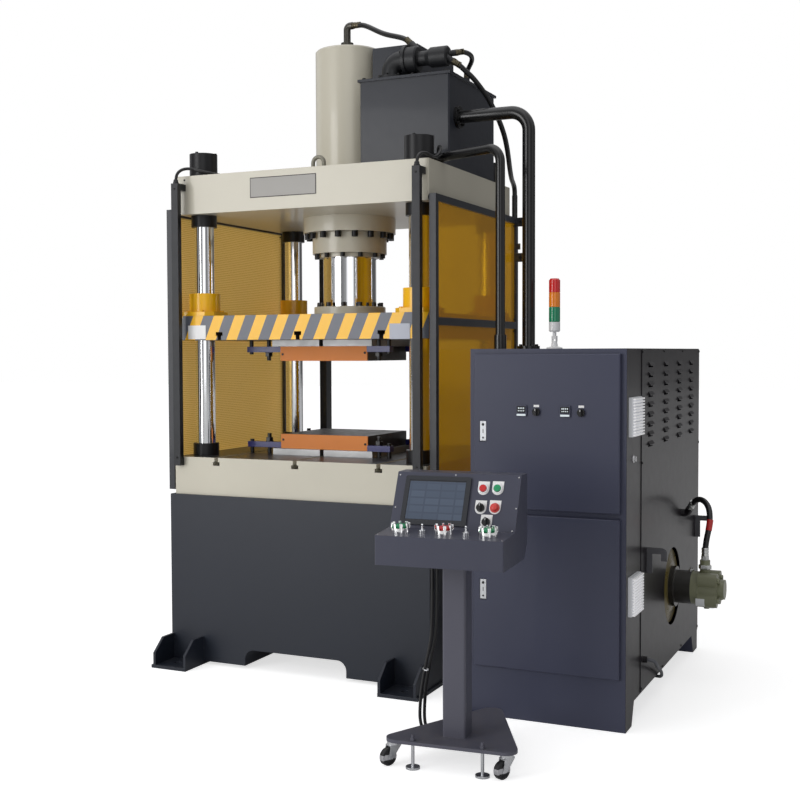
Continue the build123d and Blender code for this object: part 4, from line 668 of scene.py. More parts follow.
class PRESS_OT_finishes(bpy.types.Operator):
    """Make the node materials and give each CAD piece its finish"""

    bl_idname = "press.finishes"
    bl_label = "Finishes"

    def execute(self, context):
        paint, sizes = context.scene.press_paint, context.scene.press_sizes
        GROUPS.update(skin=skin_group(), edges=edge_group(), turning=turning_group(), dots=dots_group())
        GROUPS["heads"] = head_tree()
        dark_steel = Look((0.07, 0.07, 0.072), 0.42, 0.7)
        black = shade(26, 26, 28, 0.38, 0.2)
        chrome = Look((0.86, 0.87, 0.88), 0.08, 1.0)
        zinc = Look((0.6, 0.61, 0.63), 0.28, 1.0)
        cream = Look(paint.cream, 0.34)
        bare = linear(120, 118, 112)
        casting = {"coat": 0.25, "variation": 0.05, "bump": 0.06}
        finish("cream_paint", cream, worn=(bare, 0.25), **casting)
        finish("beam_paint", cream, [(above(2, BEAM_TOP + 1), shade(126, 123, 110, 0.42, 0.3))], **casting)
        finish("cylinder_paint", Look(paint.cream, 0.3),
               [(above(2, BARREL_TOP + 1), shade(74, 72, 66, 0.36, 0.8))],
               coat=0.3, variation=0.04, bump=0.05)
        finish("table_finish", Look(paint.cream, 0.36), [(facing_up, dark_steel)], coat=0.15, variation=0.08,
               worn=(bare, 0.3))
        finish("base_paint", Look(paint.base, 0.42), coat=0.05, dust=0.05, worn=(linear(120, 122, 126), 0.5),
               bump=0.1)
        finish("cabinet_coat", Look(paint.cabinet, 0.42),
               [(above(0, CABINET_SIDE), shade(20, 16, 21, 0.34)), (hooks, shade(84, 84, 88, 0.35))],
               coat=0.06, grain=1500.0, bump=0.22, depth=0.2, worn=(linear(130, 132, 140), 0.35),
               variation=0.06, dust=0.05)
        finish("tank_paint", Look(paint.tank, 0.38), coat=0.1, dust=0.06, bump=0.08, variation=0.12)
        finish("guard_paint", shade(42, 44, 50), coat=0.1, worn=(linear(96, 98, 102), 0.3))
        finish("column_chrome", chrome, turned=1400.0, variation=0.03, bump=0.015, dust=0.0, edge=0.5)
        finish("ram_chrome", Look((0.84, 0.85, 0.86), 0.07, 1.0), turned=900.0, variation=0.03, bump=0.012,
               dust=0.0, edge=0.5)
        finish("black_oxide", black, worn=(linear(90, 90, 92), 0.5), variation=0.12)
        finish("black_screws", shade(30, 30, 31, 0.36, 0.4), worn=(linear(120, 120, 118), 0.6), edge=0.5)
        finish("steel_screws", Look((0.55, 0.55, 0.56), 0.25, 1.0), edge=0.5)
        finish("hot_steel", shade(62, 60, 60, 0.42, 0.8), variation=0.25, worn=(linear(150, 148, 145), 0.5),
               dust=0.2)
        finish("spacer_steel", shade(150, 150, 150, 0.4, 0.85), variation=0.25)
        finish("insulation_board", shade(228, 138, 66, 0.55), variation=0.16, grain=320.0, bump=0.2,
               dust=0.03)
        finish("slide_paint", Look(paint.yellow, 0.36),
               [(stripes(sizes.stripe_pitch, sizes.stripe_lean), Look(paint.stripe, 0.4)),
                (under(2, SLIDE_LOW.z + 0.5), dark_steel), (facing_up, shade(150, 148, 140, 0.4, 0.3)),
                (slot_walls, dark_steel)],
               coat=0.2, variation=0.08, worn=(bare, 0.4), dust=0.02)
        finish("bushing_paint", Look(paint.yellow, 0.3), coat=0.35, variation=0.05, worn=(bare, 0.3),
               dust=0.02)
        # The weak glow of 0.08 on the amber sheets is painted light: it stands in for the light that shines
        # through them from behind.
        finish("amber_sheet", shade(196, 148, 18, 0.08), [(under(0, 0), shade(246, 214, 134, 0.42))],
               clear=0.62, ior=1.4, variation=0.06, dust=0.0, edge=0.4, bump=0.01, glow=0.08, specular=0.25,
               holes=[c * 0.6 for c in paint.amber])
        for name, bar in (("lower_clamp_enamel", LOWER_BAR), ("upper_clamp_enamel", UPPER_BAR)):
            finish(name, shade(10, 14, 100, 0.3), [(outside(2, *bar), black)], coat=0.2, variation=0.12,
                   dust=0.02)
        finish("ram_flange_paint", cream, [(above(2, RAM_FLANGE_TOP), black)], **casting)
        finish("curtain_body", shade(34, 35, 38, 0.36, 0.3), variation=0.12)
        finish("gloss_black", shade(13, 13, 14, 0.26), coat=0.2, variation=0.04, bump=0.03)
        finish("valve_black", shade(34, 35, 37, 0.42, 0.2), variation=0.16, bump=0.3, grain=420.0)
        # The glow of 0.08 is painted light: it makes the white vent covers and the cable tie brighter than
        # the lamps make them.
        finish("vent_plastic", shade(218, 220, 224, 0.45), variation=0.04, glow=0.08)
        finish("board_zinc", shade(170, 172, 175, 0.35, 0.7),
               [(under(1, SWITCHGEAR_PALE), shade(188, 190, 192, 0.5)),
                (under(1, SWITCHGEAR_DARK), shade(44, 46, 50, 0.5))])
        finish("olive_paint", shade(128, 130, 104, 0.34), [(under(0, PUMP_NECK), shade(34, 32, 28, 0.3))],
               coat=0.2, variation=0.14, worn=(linear(150, 148, 130), 0.4))
        finish("motor_paint", shade(52, 80, 110), coat=0.2, variation=0.12)
        # The glow of 0.12 is painted light: it brightens the whole tower evenly, the white foot and all
        # three lenses alike.
        finish("tower_plastic", shade(225, 226, 228, 0.28),
               [(above(2, TOWER_GREEN), shade(12, 132, 92, 0.16)),
                (above(2, TOWER_AMBER), shade(232, 130, 22, 0.16)),
                (above(2, TOWER_RED), shade(206, 28, 30, 0.16))],
               coat=0.5, variation=0.03, dust=0.05, glow=0.12)
        finish("handle_silver", shade(205, 207, 210, 0.3, 0.6), variation=0.05)
        finish("switch_black", shade(24, 24, 25, 0.34), variation=0.06)
        finish("screen_bezel", shade(26, 30, 38, 0.25), coat=0.4, variation=0.04, dust=0.03)
        powder = {"coat": 0.1, "grain": 1500.0, "bump": 0.2, "depth": 0.2}
        finish("panel_coat", shade(62, 64, 80, 0.42),
               [(over_face(PANEL, 0.6, *PANEL_ROWS), chrome), (over_face(DESK, 0.6, *DESK_ROWS), chrome)],
               worn=(linear(130, 130, 138), 0.35), variation=0.05, **powder)
        finish("stand_coat", shade(84, 84, 96, 0.42), [(under(2, STAND_METAL_TOP), zinc)],
               worn=(linear(140, 140, 148), 0.4), variation=0.06, **powder)
        finish("guard_chrome", Look((0.88, 0.88, 0.88), 0.06, 1.0),
               [(over_face(PANEL, -2, *PANEL_ROWS), shade(214, 70, 66, 0.3))], variation=0.02, dust=0.0)
        finish("button_red", shade(205, 32, 34, 0.25), coat=0.4, variation=0.04, dust=0.03)
        finish("button_green", shade(22, 150, 96, 0.25), coat=0.4, variation=0.04, dust=0.03)
        finish("caster_zinc", zinc, variation=0.15, dust=0.1)
        finish("tread", shade(30, 31, 33, 0.5), [(hubs, Look((0.5, 0.5, 0.52), 0.3, 1.0))], variation=0.1)
        finish("lever_metal", Look((0.72, 0.73, 0.75), 0.16, 1.0), variation=0.04, dust=0.0)
        named = {name: material for key, material in NODE_FINISH.items() for name in key.split()}
        for name, material in named.items():
            dressed = NODES[name]
            if not dressed.material_slots:
                dressed.data.materials.append(FINISHES[material])
            for slot in dressed.material_slots:
                slot.material = FINISHES[material]
        missing = set(NODES) - set(named) - {"hoses"}
        if missing:
            raise RuntimeError(f"no finish for {sorted(missing)}")
        return {"FINISHED"}


NODE_FINISH = {
    "base_frame": "base_paint",
    "table": "table_finish",
    "columns": "column_chrome",
    "column_nuts": "black_oxide",
    "crown_beam": "beam_paint",
    "cylinder": "cylinder_paint",
    "cylinder_gland": "cream_paint",
    "ram_flange": "ram_flange_paint",
    "cylinder_bolts": "black_screws",
    "ram": "ram_chrome",
    "slide": "slide_paint",
    "guide_bushings": "bushing_paint",
    "lower_spacers upper_spacers": "spacer_steel",
    "lower_hot_plate upper_hot_plate": "hot_steel",
    "lower_insulation upper_insulation": "insulation_board",
    "lower_clamps": "lower_clamp_enamel",
    "upper_clamps": "upper_clamp_enamel",
    "guard_frames": "guard_paint",
    "guard_sheets": "amber_sheet",
    "channels": "curtain_body",
    "oil_tank": "tank_paint",
    "prefill_valve": "valve_black",
    "pipes": "gloss_black",
    "cabinet side_panel upper_door lower_door": "cabinet_coat",
    "vent_covers": "vent_plastic",
    "switchgear": "board_zinc",
    "drive_motor": "motor_paint",
    "pump": "olive_paint",
    "tower_foot tower_light": "tower_plastic",
    "upper_handle lower_handle": "handle_silver",
    "cabinet_switch_left cabinet_switch_right selector_upper selector_lower": "switch_black",
    "console_stand": "stand_coat",
    "console_box": "panel_coat",
    "touch_screen": "screen_bezel",
    "console_fittings": "guard_chrome",
    "red_button stop_button": "button_red",
    "green_button start_button_left start_button_right": "button_green",
    "lever_switch_left lever_switch_right": "lever_metal",
    "caster_fork_1 caster_fork_2 caster_fork_3": "caster_zinc",
    "caster_wheel_1 caster_wheel_2 caster_wheel_3": "tread",
}


def out_of(fitting, *starts):
    """Points out of a fitting's mouth along its direction, at the given distances."""
    mouth, along = fitting
    direction = Vector(along).normalized()
    return [tuple(Vector(mouth) + direction * start) for start in starts]


def on_console(points):
    """Points of the console's own frame, put where the console stands."""
    return [tuple(CONSOLE @ Vector(point)) for point in points]


TOP_FITTING = ((425, -150, 2830), (-0.7, 0.2, 0.68))
LONG_FITTING = ((575, -168, 2778), (0.8, 0.3, -0.52))
SHORT_FITTING = ((575, -148, 2796), (0.85, 0.5, 0.16))
PUMP_ELBOW = ((1598, 242, 739), (14, -12, 24))

# Each hose: its diameter and length in millimetres, then the points that its curve follows
HOSES = {
    "top_hose": (24, 422, [
        (30, -16, 3017), (74, -16, 3017), (120, -36, 2998), (166, -60, 2972), (214, -80, 2946),
        (262, -98, 2926), (312, -114, 2910), *out_of(TOP_FITTING, 86, 46),
    ]),
    "long_hose": (24, 945, [
        *out_of(LONG_FITTING, 38, 70), (656, -126, 2714), (676, -96, 2692), (694, -58, 2660),
        (712, -16, 2624), (726, 42, 2574), (736, 102, 2520), (738, 162, 2466), (730, 222, 2416),
        (716, 284, 2372), (700, 346, 2338), (684, 408, 2314), (668, 468, 2302), (658, 520, 2292),
        (656, 546, 2268), (656, 546, 2236),
    ]),
    "short_hose": (22, 234, [
        *out_of(SHORT_FITTING, 38, 64), (646, -96, 2806), (654, -62, 2802), (648, -26, 2794),
        (630, 4, 2780), (612, 18, 2764), (602, 22, 2744), (602, 22, 2720),
    ]),
    "pump_hose": (26, 424, [
        (1699, 60, 539), (1699, 60, 584), (1704, 64, 630), (1713, 72, 678), (1714, 88, 724),
        (1704, 116, 762), (1680, 152, 784), (1649, 190, 790), *out_of(PUMP_ELBOW, 40, 0),
    ]),
    "left_curtain_cable": (14, 1348, [
        (-609, -573.5, 2232), (-609, -573.5, 2262), (-602, -562, 2288), (-588, -536, 2304),
        (-562, -510, 2306), (-526, -504, 2296), (-488, -492, 2286), (-464, -456, 2281), (-452, -400, 2280),
        (-440, -280, 2280), (-443, -120, 2280), (-438, 60, 2280), (-444, 230, 2280), (-452, 370, 2280),
        (-450, 470, 2281), (-449, 540, 2284), (-449, 585, 2256), (-449, 585, 2200),
    ]),
    "right_curtain_cable": (14, 343, [
        (609, -573.5, 2232), (609, -573.5, 2262), (615, -558, 2286), (625, -528, 2295), (633, -488, 2288),
        (636, -446, 2284), (637, -408, 2302), (634, -374, 2326), (624, -347, 2346), (604, -330, 2350),
        (604, -330, 2317),
    ]),
    "side_cable": (14, 513, [
        (1576, -500, 220), (1598, -500, 220), (1606, -484, 206), (1604, -452, 186), (1598, -404, 166),
        (1590, -352, 150), (1582, -296, 130), (1576, -246, 110), (1570, -204, 84), (1556, -166, 66),
        (1530, -134, 58), (1504, -112, 54), (1490, -104, 64), (1490, -104, 90),
    ]),
    "inner_console_cable": (12, 1544, on_console([
        (-84, 30, 725), (-84, 30, 670), (-87, 40, 590), (-92, 50, 500), (-100, 60, 420), (-126, 78, 330),
        (-146, 94, 250), (-158, 104, 170), (-162, 112, 100), (-156, 130, 44), (-134, 168, 12), (-98, 224, 7),
        (-62, 290, 7), (-26, 366, 7), (0, 440, 7), (-48, 492, 7), (-101, 524, 7), (-135, 560, 7),
        (-146, 612, 7), (-144, 672, 7), (-132, 726, 7), (-108, 769, 12), (-80, 791, 34), (-68, 798, 58),
        (-68, 798, 90),
    ])),
    "outer_console_cable": (12, 1559, on_console([
        (-100, 24, 725), (-100, 24, 668), (-103, 32, 590), (-107, 40, 500), (-112, 46, 420), (-137, 64, 330),
        (-157, 80, 250), (-171, 92, 170), (-178, 106, 100), (-171, 132, 44), (-149, 174, 12), (-113, 232, 7),
        (-77, 298, 7), (-42, 372, 7), (-17, 434, 7), (-58, 480, 7), (-111, 511, 7), (-149, 553, 7),
        (-162, 611, 7), (-160, 674, 7), (-147, 732, 7), (-120, 779, 12), (-89, 804, 34), (-76, 814, 58),
        (-76, 814, 90),
    ])),
}


class PRESS_OT_hoses(bpy.types.Operator):
    """Lay the hoses and cables as smooth curves along their routes"""

    bl_idname = "press.hoses"
    bl_label = "Hoses and cables"

    def execute(self, context):
        rubber = finish(
            "hose_rubber", shade(24, 24, 25, 0.36), coat=0.15, variation=0.1, grain=500.0, bump=0.25)
        grey = finish("grey_cable", shade(92, 94, 100, 0.5), variation=0.1)
        for name, (diameter, length, route) in HOSES.items():
            line = bpy.data.curves.new(name, "CURVE")
            line.dimensions = "3D"
            line.resolution_u = 8
            line.bevel_depth = diameter / 2 * MM
            line.bevel_resolution = 4
            line.use_fill_caps = True
            spline = line.splines.new("NURBS")
            spline.points.add(len(route) - 1)
            for point, spot in zip(spline.points, route):
                point.co = (*(Vector(spot) * MM), 1.0)
            spline.order_u = 3
            spline.use_endpoint_u = True
            line.materials.append(grey if name == "side_cable" else rubber)
            hose = bpy.data.objects.new(name, line)
            context.scene.collection.objects.link(hose)
            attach(hose, BODY_FRAME)
            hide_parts("hoses")
        return {"FINISHED"}


def hose_end(route, index):
    """The first or last point of a route, and the direction in which the hose leaves it."""
    end, after = (route[0], route[1]) if index == 0 else (route[-1], route[-2])
    return end, Vector(after) - Vector(end)


def ferrule(shape, at, along, diameter, hex_long, sleeve_long):
    """A hose end: a hexagon nut, then a crimped sleeve with two grooves."""
    face = facing(at, along)
    r = diameter / 2
    nut = [(0, -4), (r + 3, -4), (r + 4, -3), (r + 4, hex_long - 1), (r + 3, hex_long), (0, hex_long)]
    lathe(shape, face, nut, 6)
    sleeve = [(0, 0), (r + 2.4, 0), (r + 2.4, 8), (r + 1.4, 9), (r + 1.4, 12), (r + 2.4, 13), (r + 2.4, 21)]
    sleeve += [(r + 1.4, 22), (r + 1.4, 25), (r + 2.4, 26), (r + 2.4, sleeve_long - 1)]
    sleeve += [(r + 1.6, sleeve_long), (r - 0.5, sleeve_long), (0, sleeve_long)]
    lathe(shape, face, [(radius, hex_long + height) for radius, height in sleeve])


class PRESS_OT_hose_ends(bpy.types.Operator):
    """Make the crimped ends of the hydraulic hoses and the cable glands"""

    bl_idname = "press.hose_ends"
    bl_label = "Hose ends"

    def execute(self, context):
        brass = finish("fitting_metal", shade(88, 82, 66, 0.34, 0.8), variation=0.2, dust=0.05)
        steel = finish("zinc_fitting", Look((0.56, 0.57, 0.56), 0.26, 1.0), variation=0.12, dust=0.05)
        dark = finish("gland_black", shade(30, 31, 33, 0.45), variation=0.06)

        def ends(shape):
            for name, index in (("top_hose", 0), ("top_hose", 1), ("long_hose", 0), ("short_hose", 0),
                                ("short_hose", 1)):
                diameter, _, route = HOSES[name]
                at, along = hose_end(route, index)
                ferrule(shape, at, along, diameter, 12, min(30, along.length - 14))

        def pump_ends(shape):
            diameter, _, route = HOSES["pump_hose"]
            ferrule(shape, *hose_end(route, 0), diameter, 18, 36)
            ferrule(shape, *hose_end(route, 1), diameter, 12, 26)

        cap = [(0, -2), (13, -2), (13, 7), (11, 9), (11, 15), (8.2, 19), (0, 19)]
        glands = []
        for name, share in (("left_curtain_cable", 1), ("right_curtain_cable", 1),
                            ("inner_console_cable", 0.6), ("outer_console_cable", 0.6)):
            profile = [(radius * share, height) for radius, height in cap]
            glands.append((facing(*hose_end(HOSES[name][2], 0)), profile, 20))
        piece("hose_ends", ends, brass)
        piece("pump_hose_ends", pump_ends, steel)
        piece("cable_glands", forms(lathe, glands), dark)
        return {"FINISHED"}


class PRESS_OT_screws(bpy.types.Operator):
    """Set the screws and bolts of the covers, guards, plates and flanges"""

    bl_idname = "press.screws"
    bl_label = "Screws and bolts"

    def execute(self, context):
        sizes = context.scene.press_sizes
        black, bright = FINISHES["black_screws"], FINISHES["steel_screws"]
        small, bolt = sizes.screw_head, sizes.bolt_head
        corners = [(y, z) for y in (-503, 478) for z in (850, 1552, 1610, 2076)]
        sheets = [(SIDE[key], corners) for key in ("right_sheet", "left_sheet_inside")]
        sheets.append((SIDE["left_sheet"], [(-y, z) for y, z in corners]))
        bars = [(FRONT["curtain"], [(x, z) for x in (-609, 609) for z in (962, 2206)])]
        beam = [(FRONT["beam"], [(578, 2254), (-598, 2254)])]
        lower = [(FRONT["board"], [(-217, 1036), (217, 1026)])]
        upper = [(FRONT["board"], [(-217, 1441), (217, 1447)])]
        for name, places, diameter, body in (
            ("sheet_screws", sheets, small, BODY_FRAME),
            ("curtain_screws", bars, small + 1, BODY_FRAME),
            ("beam_screws", beam, small, BODY_FRAME),
            ("lower_board_screws", lower, small + 2, BODY_FRAME),
            ("upper_board_screws", upper, small + 2, BODY_SLIDE),
        ):
            heads(name, places, diameter, 3, black, body)
        panel_spots = [(-217, 195), (-10, 200), (219, 199), (-217, 73), (221, 86), (216, 5)]
        heads("console_screws", [(PANEL, panel_spots)], 6, 1.8, bright)
        desk_spots = [(-219, -58), (219, -58)]
        heads("desk_screws", [(DESK, desk_spots)], 6, 1.8, bright)
        edges = [(y, z) for y in (-532, 650) for z in (110, 560, 1010, 1448)]
        edges += [(y, z) for y in (-140, 255) for z in (104, 1450)]
        heads("panel_screws", [(SIDE["panel"], edges)], small + 1, 3, black)
        rim = [(602, y) for y in range(-195, 340, 88)] + [(x, 346) for x in range(440, 600, 72)]
        rim += [(x, -213) for x in range(186, 600, 82)]
        flanges = [
            ring_places(side(628, -124, 2512), 40, 4, 45),
            ring_places(top(952.5, -124, 1475), 40, 4, 45),
            ring_places(top(302, -160, 2716), 55, 6, 30),
            ring_places(surface((372, -160, 2784), (0, 1, 0), (-1, 0, 0)), 56, 6, 30),
        ]
        lugs = [(front(490), [(706, 2096), (706, 1920)])]
        for name, places, diameter, high in (
            ("cover_bolts", [(top(0, 0, COVER_TOP), rim)], bolt, 9),
            ("flange_bolts", flanges, bolt - 3, 8),
            ("lug_bolts", lugs, bolt - 4, 6),
        ):
            heads(name, places, diameter, high, black, sides=6, socket=0.6)
        lobes = [(side(1759, 60, 415), [(y, z) for y in (-44, 44) for z in (-44, 44)])]
        heads("pump_bolts", lobes, 24, 10, FINISHES["olive_paint"], socket=0.6)
        return {"FINISHED"}


class PRESS_OT_plates(bpy.types.Operator):
    """Fix the bare plates on the beam and the slide"""

    bl_idname = "press.plates"
    bl_label = "Bare plates"

    def execute(self, context):
        sizes = context.scene.press_sizes
        metal = finish("plate_aluminium", shade(150, 148, 144, 0.42, 0.2), variation=0.05, dust=0.0)
        border = finish("plate_border", shade(58, 52, 52), variation=0.03, dust=0.0)
        white = finish("white_plate", shade(240, 240, 240), variation=0.03, dust=0.0)
        grey = finish("grey_plate", shade(176, 180, 192, 0.36), variation=0.04, dust=0.0)
        x, z = -71.5, 2196.5
        wide, high = sizes.plate_wide, sizes.plate_high
        outer, inner = rounded(x, z, wide, high, 2), rounded(x, z, wide - 7, high - 7, 1)
        left, right = rounded(-536.5, 1545, 97, 64, 1.5), rounded(503.5, 1539.5, 97, 67, 1.5)
        for name, face, outline, low, top_face, material, body in (
            ("nameplate_border", "beam", outer, 0, 1.2, border, BODY_FRAME),
            ("nameplate", "beam", inner, 0.4, 1.7, metal, BODY_FRAME),
            ("slide_plate_left", "slide", left, 0, 2, white, BODY_SLIDE),
            ("slide_plate_right", "slide", right, 0, 2, grey, BODY_SLIDE),
        ):
            piece(name, forms(slab, [(FRONT[face], outline, low, top_face)]), material, body)
        return {"FINISHED"}


class PRESS_OT_cabinet_details(bpy.types.Operator):
    """Make the controllers, labels, locks and pump details of the cabinet"""

    bl_idname = "press.cabinet_details"
    bl_label = "Cabinet details"

    def execute(self, context):
        black, white = FINISHES["switch_black"], FINISHES["white_plate"]
        shown = finish("display_digits", shade(205, 214, 218), glow=0.35, variation=0.02, dust=0.0)
        glass = finish("display_glass", shade(16, 18, 20, 0.08), coat=0.5, variation=0.02, dust=0.0)
        door = FRONT["door"]
        controllers, switches = (1146, 1321), (1206, 1384)
        windows = [(door, rounded(x, 1226, 35, 25, 2), 5.5, 7.2) for x in controllers]
        piece("display_windows", forms(slab, windows), glass, "upper_door")
        digits = []
        for x in controllers:
            for row, high in ((1231, 6), (1221, 4.4)):
                for i in range(4):
                    digits.append((door, rounded(x - 10.5 + i * 7, row, 4.2, high, 0.6), 7.0, 7.5, 0.1))
            digits.append((door, rounded(x, 1205, 36, 7.5, 1), 5.5, 7.4))
        piece("display_digits", forms(slab, digits), shown, "upper_door")
        labels = [(door, rounded(x, 1240, 22, 9, 1), 0, 0.9) for x in switches]
        piece("switch_labels", forms(slab, labels), white, "upper_door")
        for x, body in zip(switches, ("cabinet_switch_left", "cabinet_switch_right")):
            mark = [(door, rounded(x, 1225.5, 1.8, 8, 0.8), 19.9, 20.7, 0.1)]
            piece(body + "_mark", forms(slab, mark), white, body)
        for body, z in (("upper_handle", 1098), ("lower_handle", 471)):
            lock = [
                (door, rounded(986.5, z + 66, 11, 11, 5), 0, 0.9),
                (door, rounded(986.5, z + 40, 3, 16, 1.2), 0, 0.7),
                (door, rounded(986.5, z + 14, 8, 8, 3.6), 0, 0.8),
            ]
            piece(body + "_lock", forms(slab, lock), black, body)

        def side_lock(shape):
            lathe(shape, SIDE["cabinet"], [(0, 0), (15, 0), (15, 3), (12, 6), (0, 6)], 24, -674, 1037)
            slab(shape, SIDE["cabinet"], rounded(-674, 1037, 5, 20, 2), 5, 14)

        piece("side_lock", side_lock, FINISHES["steel_screws"])
        vent = side(VENT_FACE)
        ribs = [(vent, rounded(-670, middle + step * 11.4, 153, 6.2, 1.5), -2, 7, 1.5)
                for middle in (1200, 515) for step in range(-6, 7)]
        # The glow of 0.16 is painted light: it keeps the white vent ribs bright against the dark side panel.
        ribbed = finish("rib_plastic", shade(250, 250, 252), variation=0.03, dust=0.0, glow=0.16)
        piece("vent_ribs", forms(slab, ribs), ribbed)
        gold = finish("bell_paint", shade(98, 86, 42, 0.3), variation=0.3, dust=0.0)
        dish = [(0, 0), (166, 0), (166, 14), (160, 18), (118, 18), (108, 24), (92, 24), (92, 25), (0, 25)]
        piece("bell_flange", forms(lathe, [(side(1530, 60, 415), dish, 48)]), gold)
        up, down = (0, 0, 1), (0, 0, -1)
        plug = [(0, -6), (11, -6), (11, 6), (9, 8), (7, 8), (7, 16), (0, 16)]
        collar = [(0, 0), (27, 0), (28, 2), (28, 16), (26, 18), (0, 18)]
        drain = [(0, -4), (16, -4), (16, 10), (13, 13), (0, 13)]
        fittings = [
            (facing((1640, 60, 487), up), plug, 6),
            (facing((1699, 60, 500), up), collar, 6),
            (facing((1729, 60, 344), down), drain, 6),
        ]
        piece("pump_fittings", forms(lathe, fittings), FINISHES["zinc_fitting"])
        tag = finish("pump_tag", shade(226, 228, 230), variation=0.04, dust=0.0)
        piece("pump_label", bent_label, tag)
        red = finish("red_band", shade(196, 44, 44, 0.35), coat=0.2, variation=0.05, dust=0.0)
        sleeve = [(0, -24), (13.4, -24), (14, -23), (14, 23), (13.4, 24), (0, 24)]
        spot = facing((1713.6, 77, 690), (0.1, 0.25, 0.95))
        piece("pump_hose_band", forms(lathe, [(spot, sleeve)]), red)
        return {"FINISHED"}


def bent_label(shape):
    """A bare label curved round the low front lobe of the pump's cap."""
    rings = []
    for radius in (29.8, 30.8):
        ring = []
        for step in range(9):
            angle = math.radians(160 + 70 * step / 8)
            y, z = 16 + radius * math.cos(angle), 371 + radius * math.sin(angle)
            ring.append([shape.verts.new(Vector((x, y, z)) * MM) for x in (1672, 1710)])
        rings.append(ring)
    inner, outer = rings
    for ring in rings:
        for a, b in zip(ring, ring[1:]):
            shape.faces.new((a[0], b[0], b[1], a[1]))
    for side in (0, 1):
        for i in range(8):
            shape.faces.new((inner[i][side], inner[i + 1][side], outer[i + 1][side], outer[i][side]))
    for i in (0, 8):
        shape.faces.new((inner[i][0], inner[i][1], outer[i][1], outer[i][0]))


def notch_guards():
    """Cut four more notches in each castellated ring round the mushroom buttons."""
    notches = []
    for x in (-156, 0, 156):
        for wide, high in ((15, 68), (68, 15)):
            notches.append((DESK, rounded(x, 0, wide, high, 0.2, 1), 18, 36, 0.01))
    cutter = bpy.data.objects.new("guard_notches", built("guard_notches", forms(slab, notches)))
    rings = bpy.data.objects.new("whole_guards", NODES["console_fittings"].data)
    for made in (cutter, rings):
        bpy.context.scene.collection.objects.link(made)
    cut = rings.modifiers.new("notches", "BOOLEAN")
    cut.operation = "DIFFERENCE"
    cut.use_self = True
    cut.object = cutter
    cut.solver = "EXACT"
    graph = bpy.context.evaluated_depsgraph_get()
    notched = bpy.data.meshes.new_from_object(rings.evaluated_get(graph))
    bpy.data.objects.remove(cutter)
    bpy.data.objects.remove(rings)
    made = settle("notched_guards", notched, FINISHES["guard_chrome"], BODY_FRAME)
    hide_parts("console_fittings")


class PRESS_OT_console_details(bpy.types.Operator):
    """Make the label shields, screen glass and cable tie of the console"""

    bl_idname = "press.console_details"
    bl_label = "Console details"

    def execute(self, context):
        white = FINISHES["white_plate"]
        spots = ((97, 156), (148, 158), (95, 86), (146, 88), (121, 35))
        shields = [(PANEL, shield(x, rise, 41, 50), 0, 0.9) for x, rise in spots]
        piece("button_shields", forms(slab, shields), white)
        notch_guards()
        pane = [(PANEL, rounded(-70, 101.5, 206, 141, 1), 5.2, 6.1, 0.2)]
        piece("screen_glass", forms(slab, pane), screen_material())
        for body, x, rise in (("selector_upper", 95, 83), ("selector_lower", 121, 32)):
            mark = [(PANEL, rounded(x, rise + 7, 1.8, 9, 0.8), 19.9, 20.7, 0.1)]
            piece(body + "_mark", forms(slab, mark), white, body)

        def tie(shape):
            middle = (Vector((-137, 78, 300)) + Vector((-148, 64, 300))) / 2
            ring = CONSOLE @ surface(middle, (11, -14, 0), (-0.35, 0.2, 1))
            outer, inner = rounded(0, 0, 34, 16, 7.9, 6), rounded(0, 0, 31.5, 13.5, 6.7, 6)
            loops = []
            for outline, level in ((outer, -2.2), (outer, 2.2), (inner, 2.2), (inner, -2.2)):
                loops.append([shape.verts.new(ring @ Vector((x, y, level)) * MM) for x, y in outline])
            for first, second in zip(loops, loops[1:] + loops[:1]):
                band(shape, first, second)

        piece("cable_tie", tie, FINISHES["vent_plastic"])
        return {"FINISHED"}


def screen_material():
    """Dark glass over a dim picture of plain tiles."""
    material = finish("screen_glass", shade(52, 62, 76, 0.12), coat=0.5, variation=0.06, dust=0.0, glow=0.25)
    net = Net(material.node_tree)
    shader = net.tree.nodes["Principled BSDF"]
    away = net.less(net.place(), PANEL.translation * MM)
    across, rise = net.dot(away, PANEL.col[0].to_3d()), net.dot(away, PANEL.col[1].to_3d())
    flat = net.add("ShaderNodeCombineXYZ", {0: across, 1: rise}).outputs[0]
    tiles = net.add("ShaderNodeTexBrick", {
        "Vector": flat,
        "Scale": 9.0,
        "Mortar Size": 0.03,
        "Color1": (*linear(64, 76, 94), 1),
        "Color2": (*linear(56, 68, 86), 1),
        "Mortar": (*linear(53, 64, 82), 1),
    }, offset=0.0)
    net.link(tiles.outputs["Color"], shader.inputs["Base Color"])
    net.link(tiles.outputs["Color"], shader.inputs["Emission Color"])
    return material


# The studio in metres, but for the sensor, in millimetres. The camera turns by degrees about Z, X and Z
FLOOR_HALF = 40
CAMERA_AT = (2.632, -5.184, 1.450)
CAMERA_TURNS = (24.535, 90 - 2.309, -0.195)
SENSOR_WIDE = 36.0
FAR_CLIP = 200.0

# Upright bands of the reflected surroundings: share of the way round, and brightness
BANDS = (
    (0.0, 0.22), (0.04, 0.16), (0.07, 0.5), (0.13, 0.45), (0.17, 0.12), (0.23, 0.16), (0.27, 0.75),
    (0.33, 0.6), (0.38, 0.16), (0.43, 0.75), (0.48, 0.6), (0.52, 0.1), (0.66, 0.08), (0.71, 0.7),
    (0.77, 0.6), (0.81, 0.1), (0.87, 0.3), (0.905, 1.5), (0.945, 1.4), (0.975, 0.3),
)


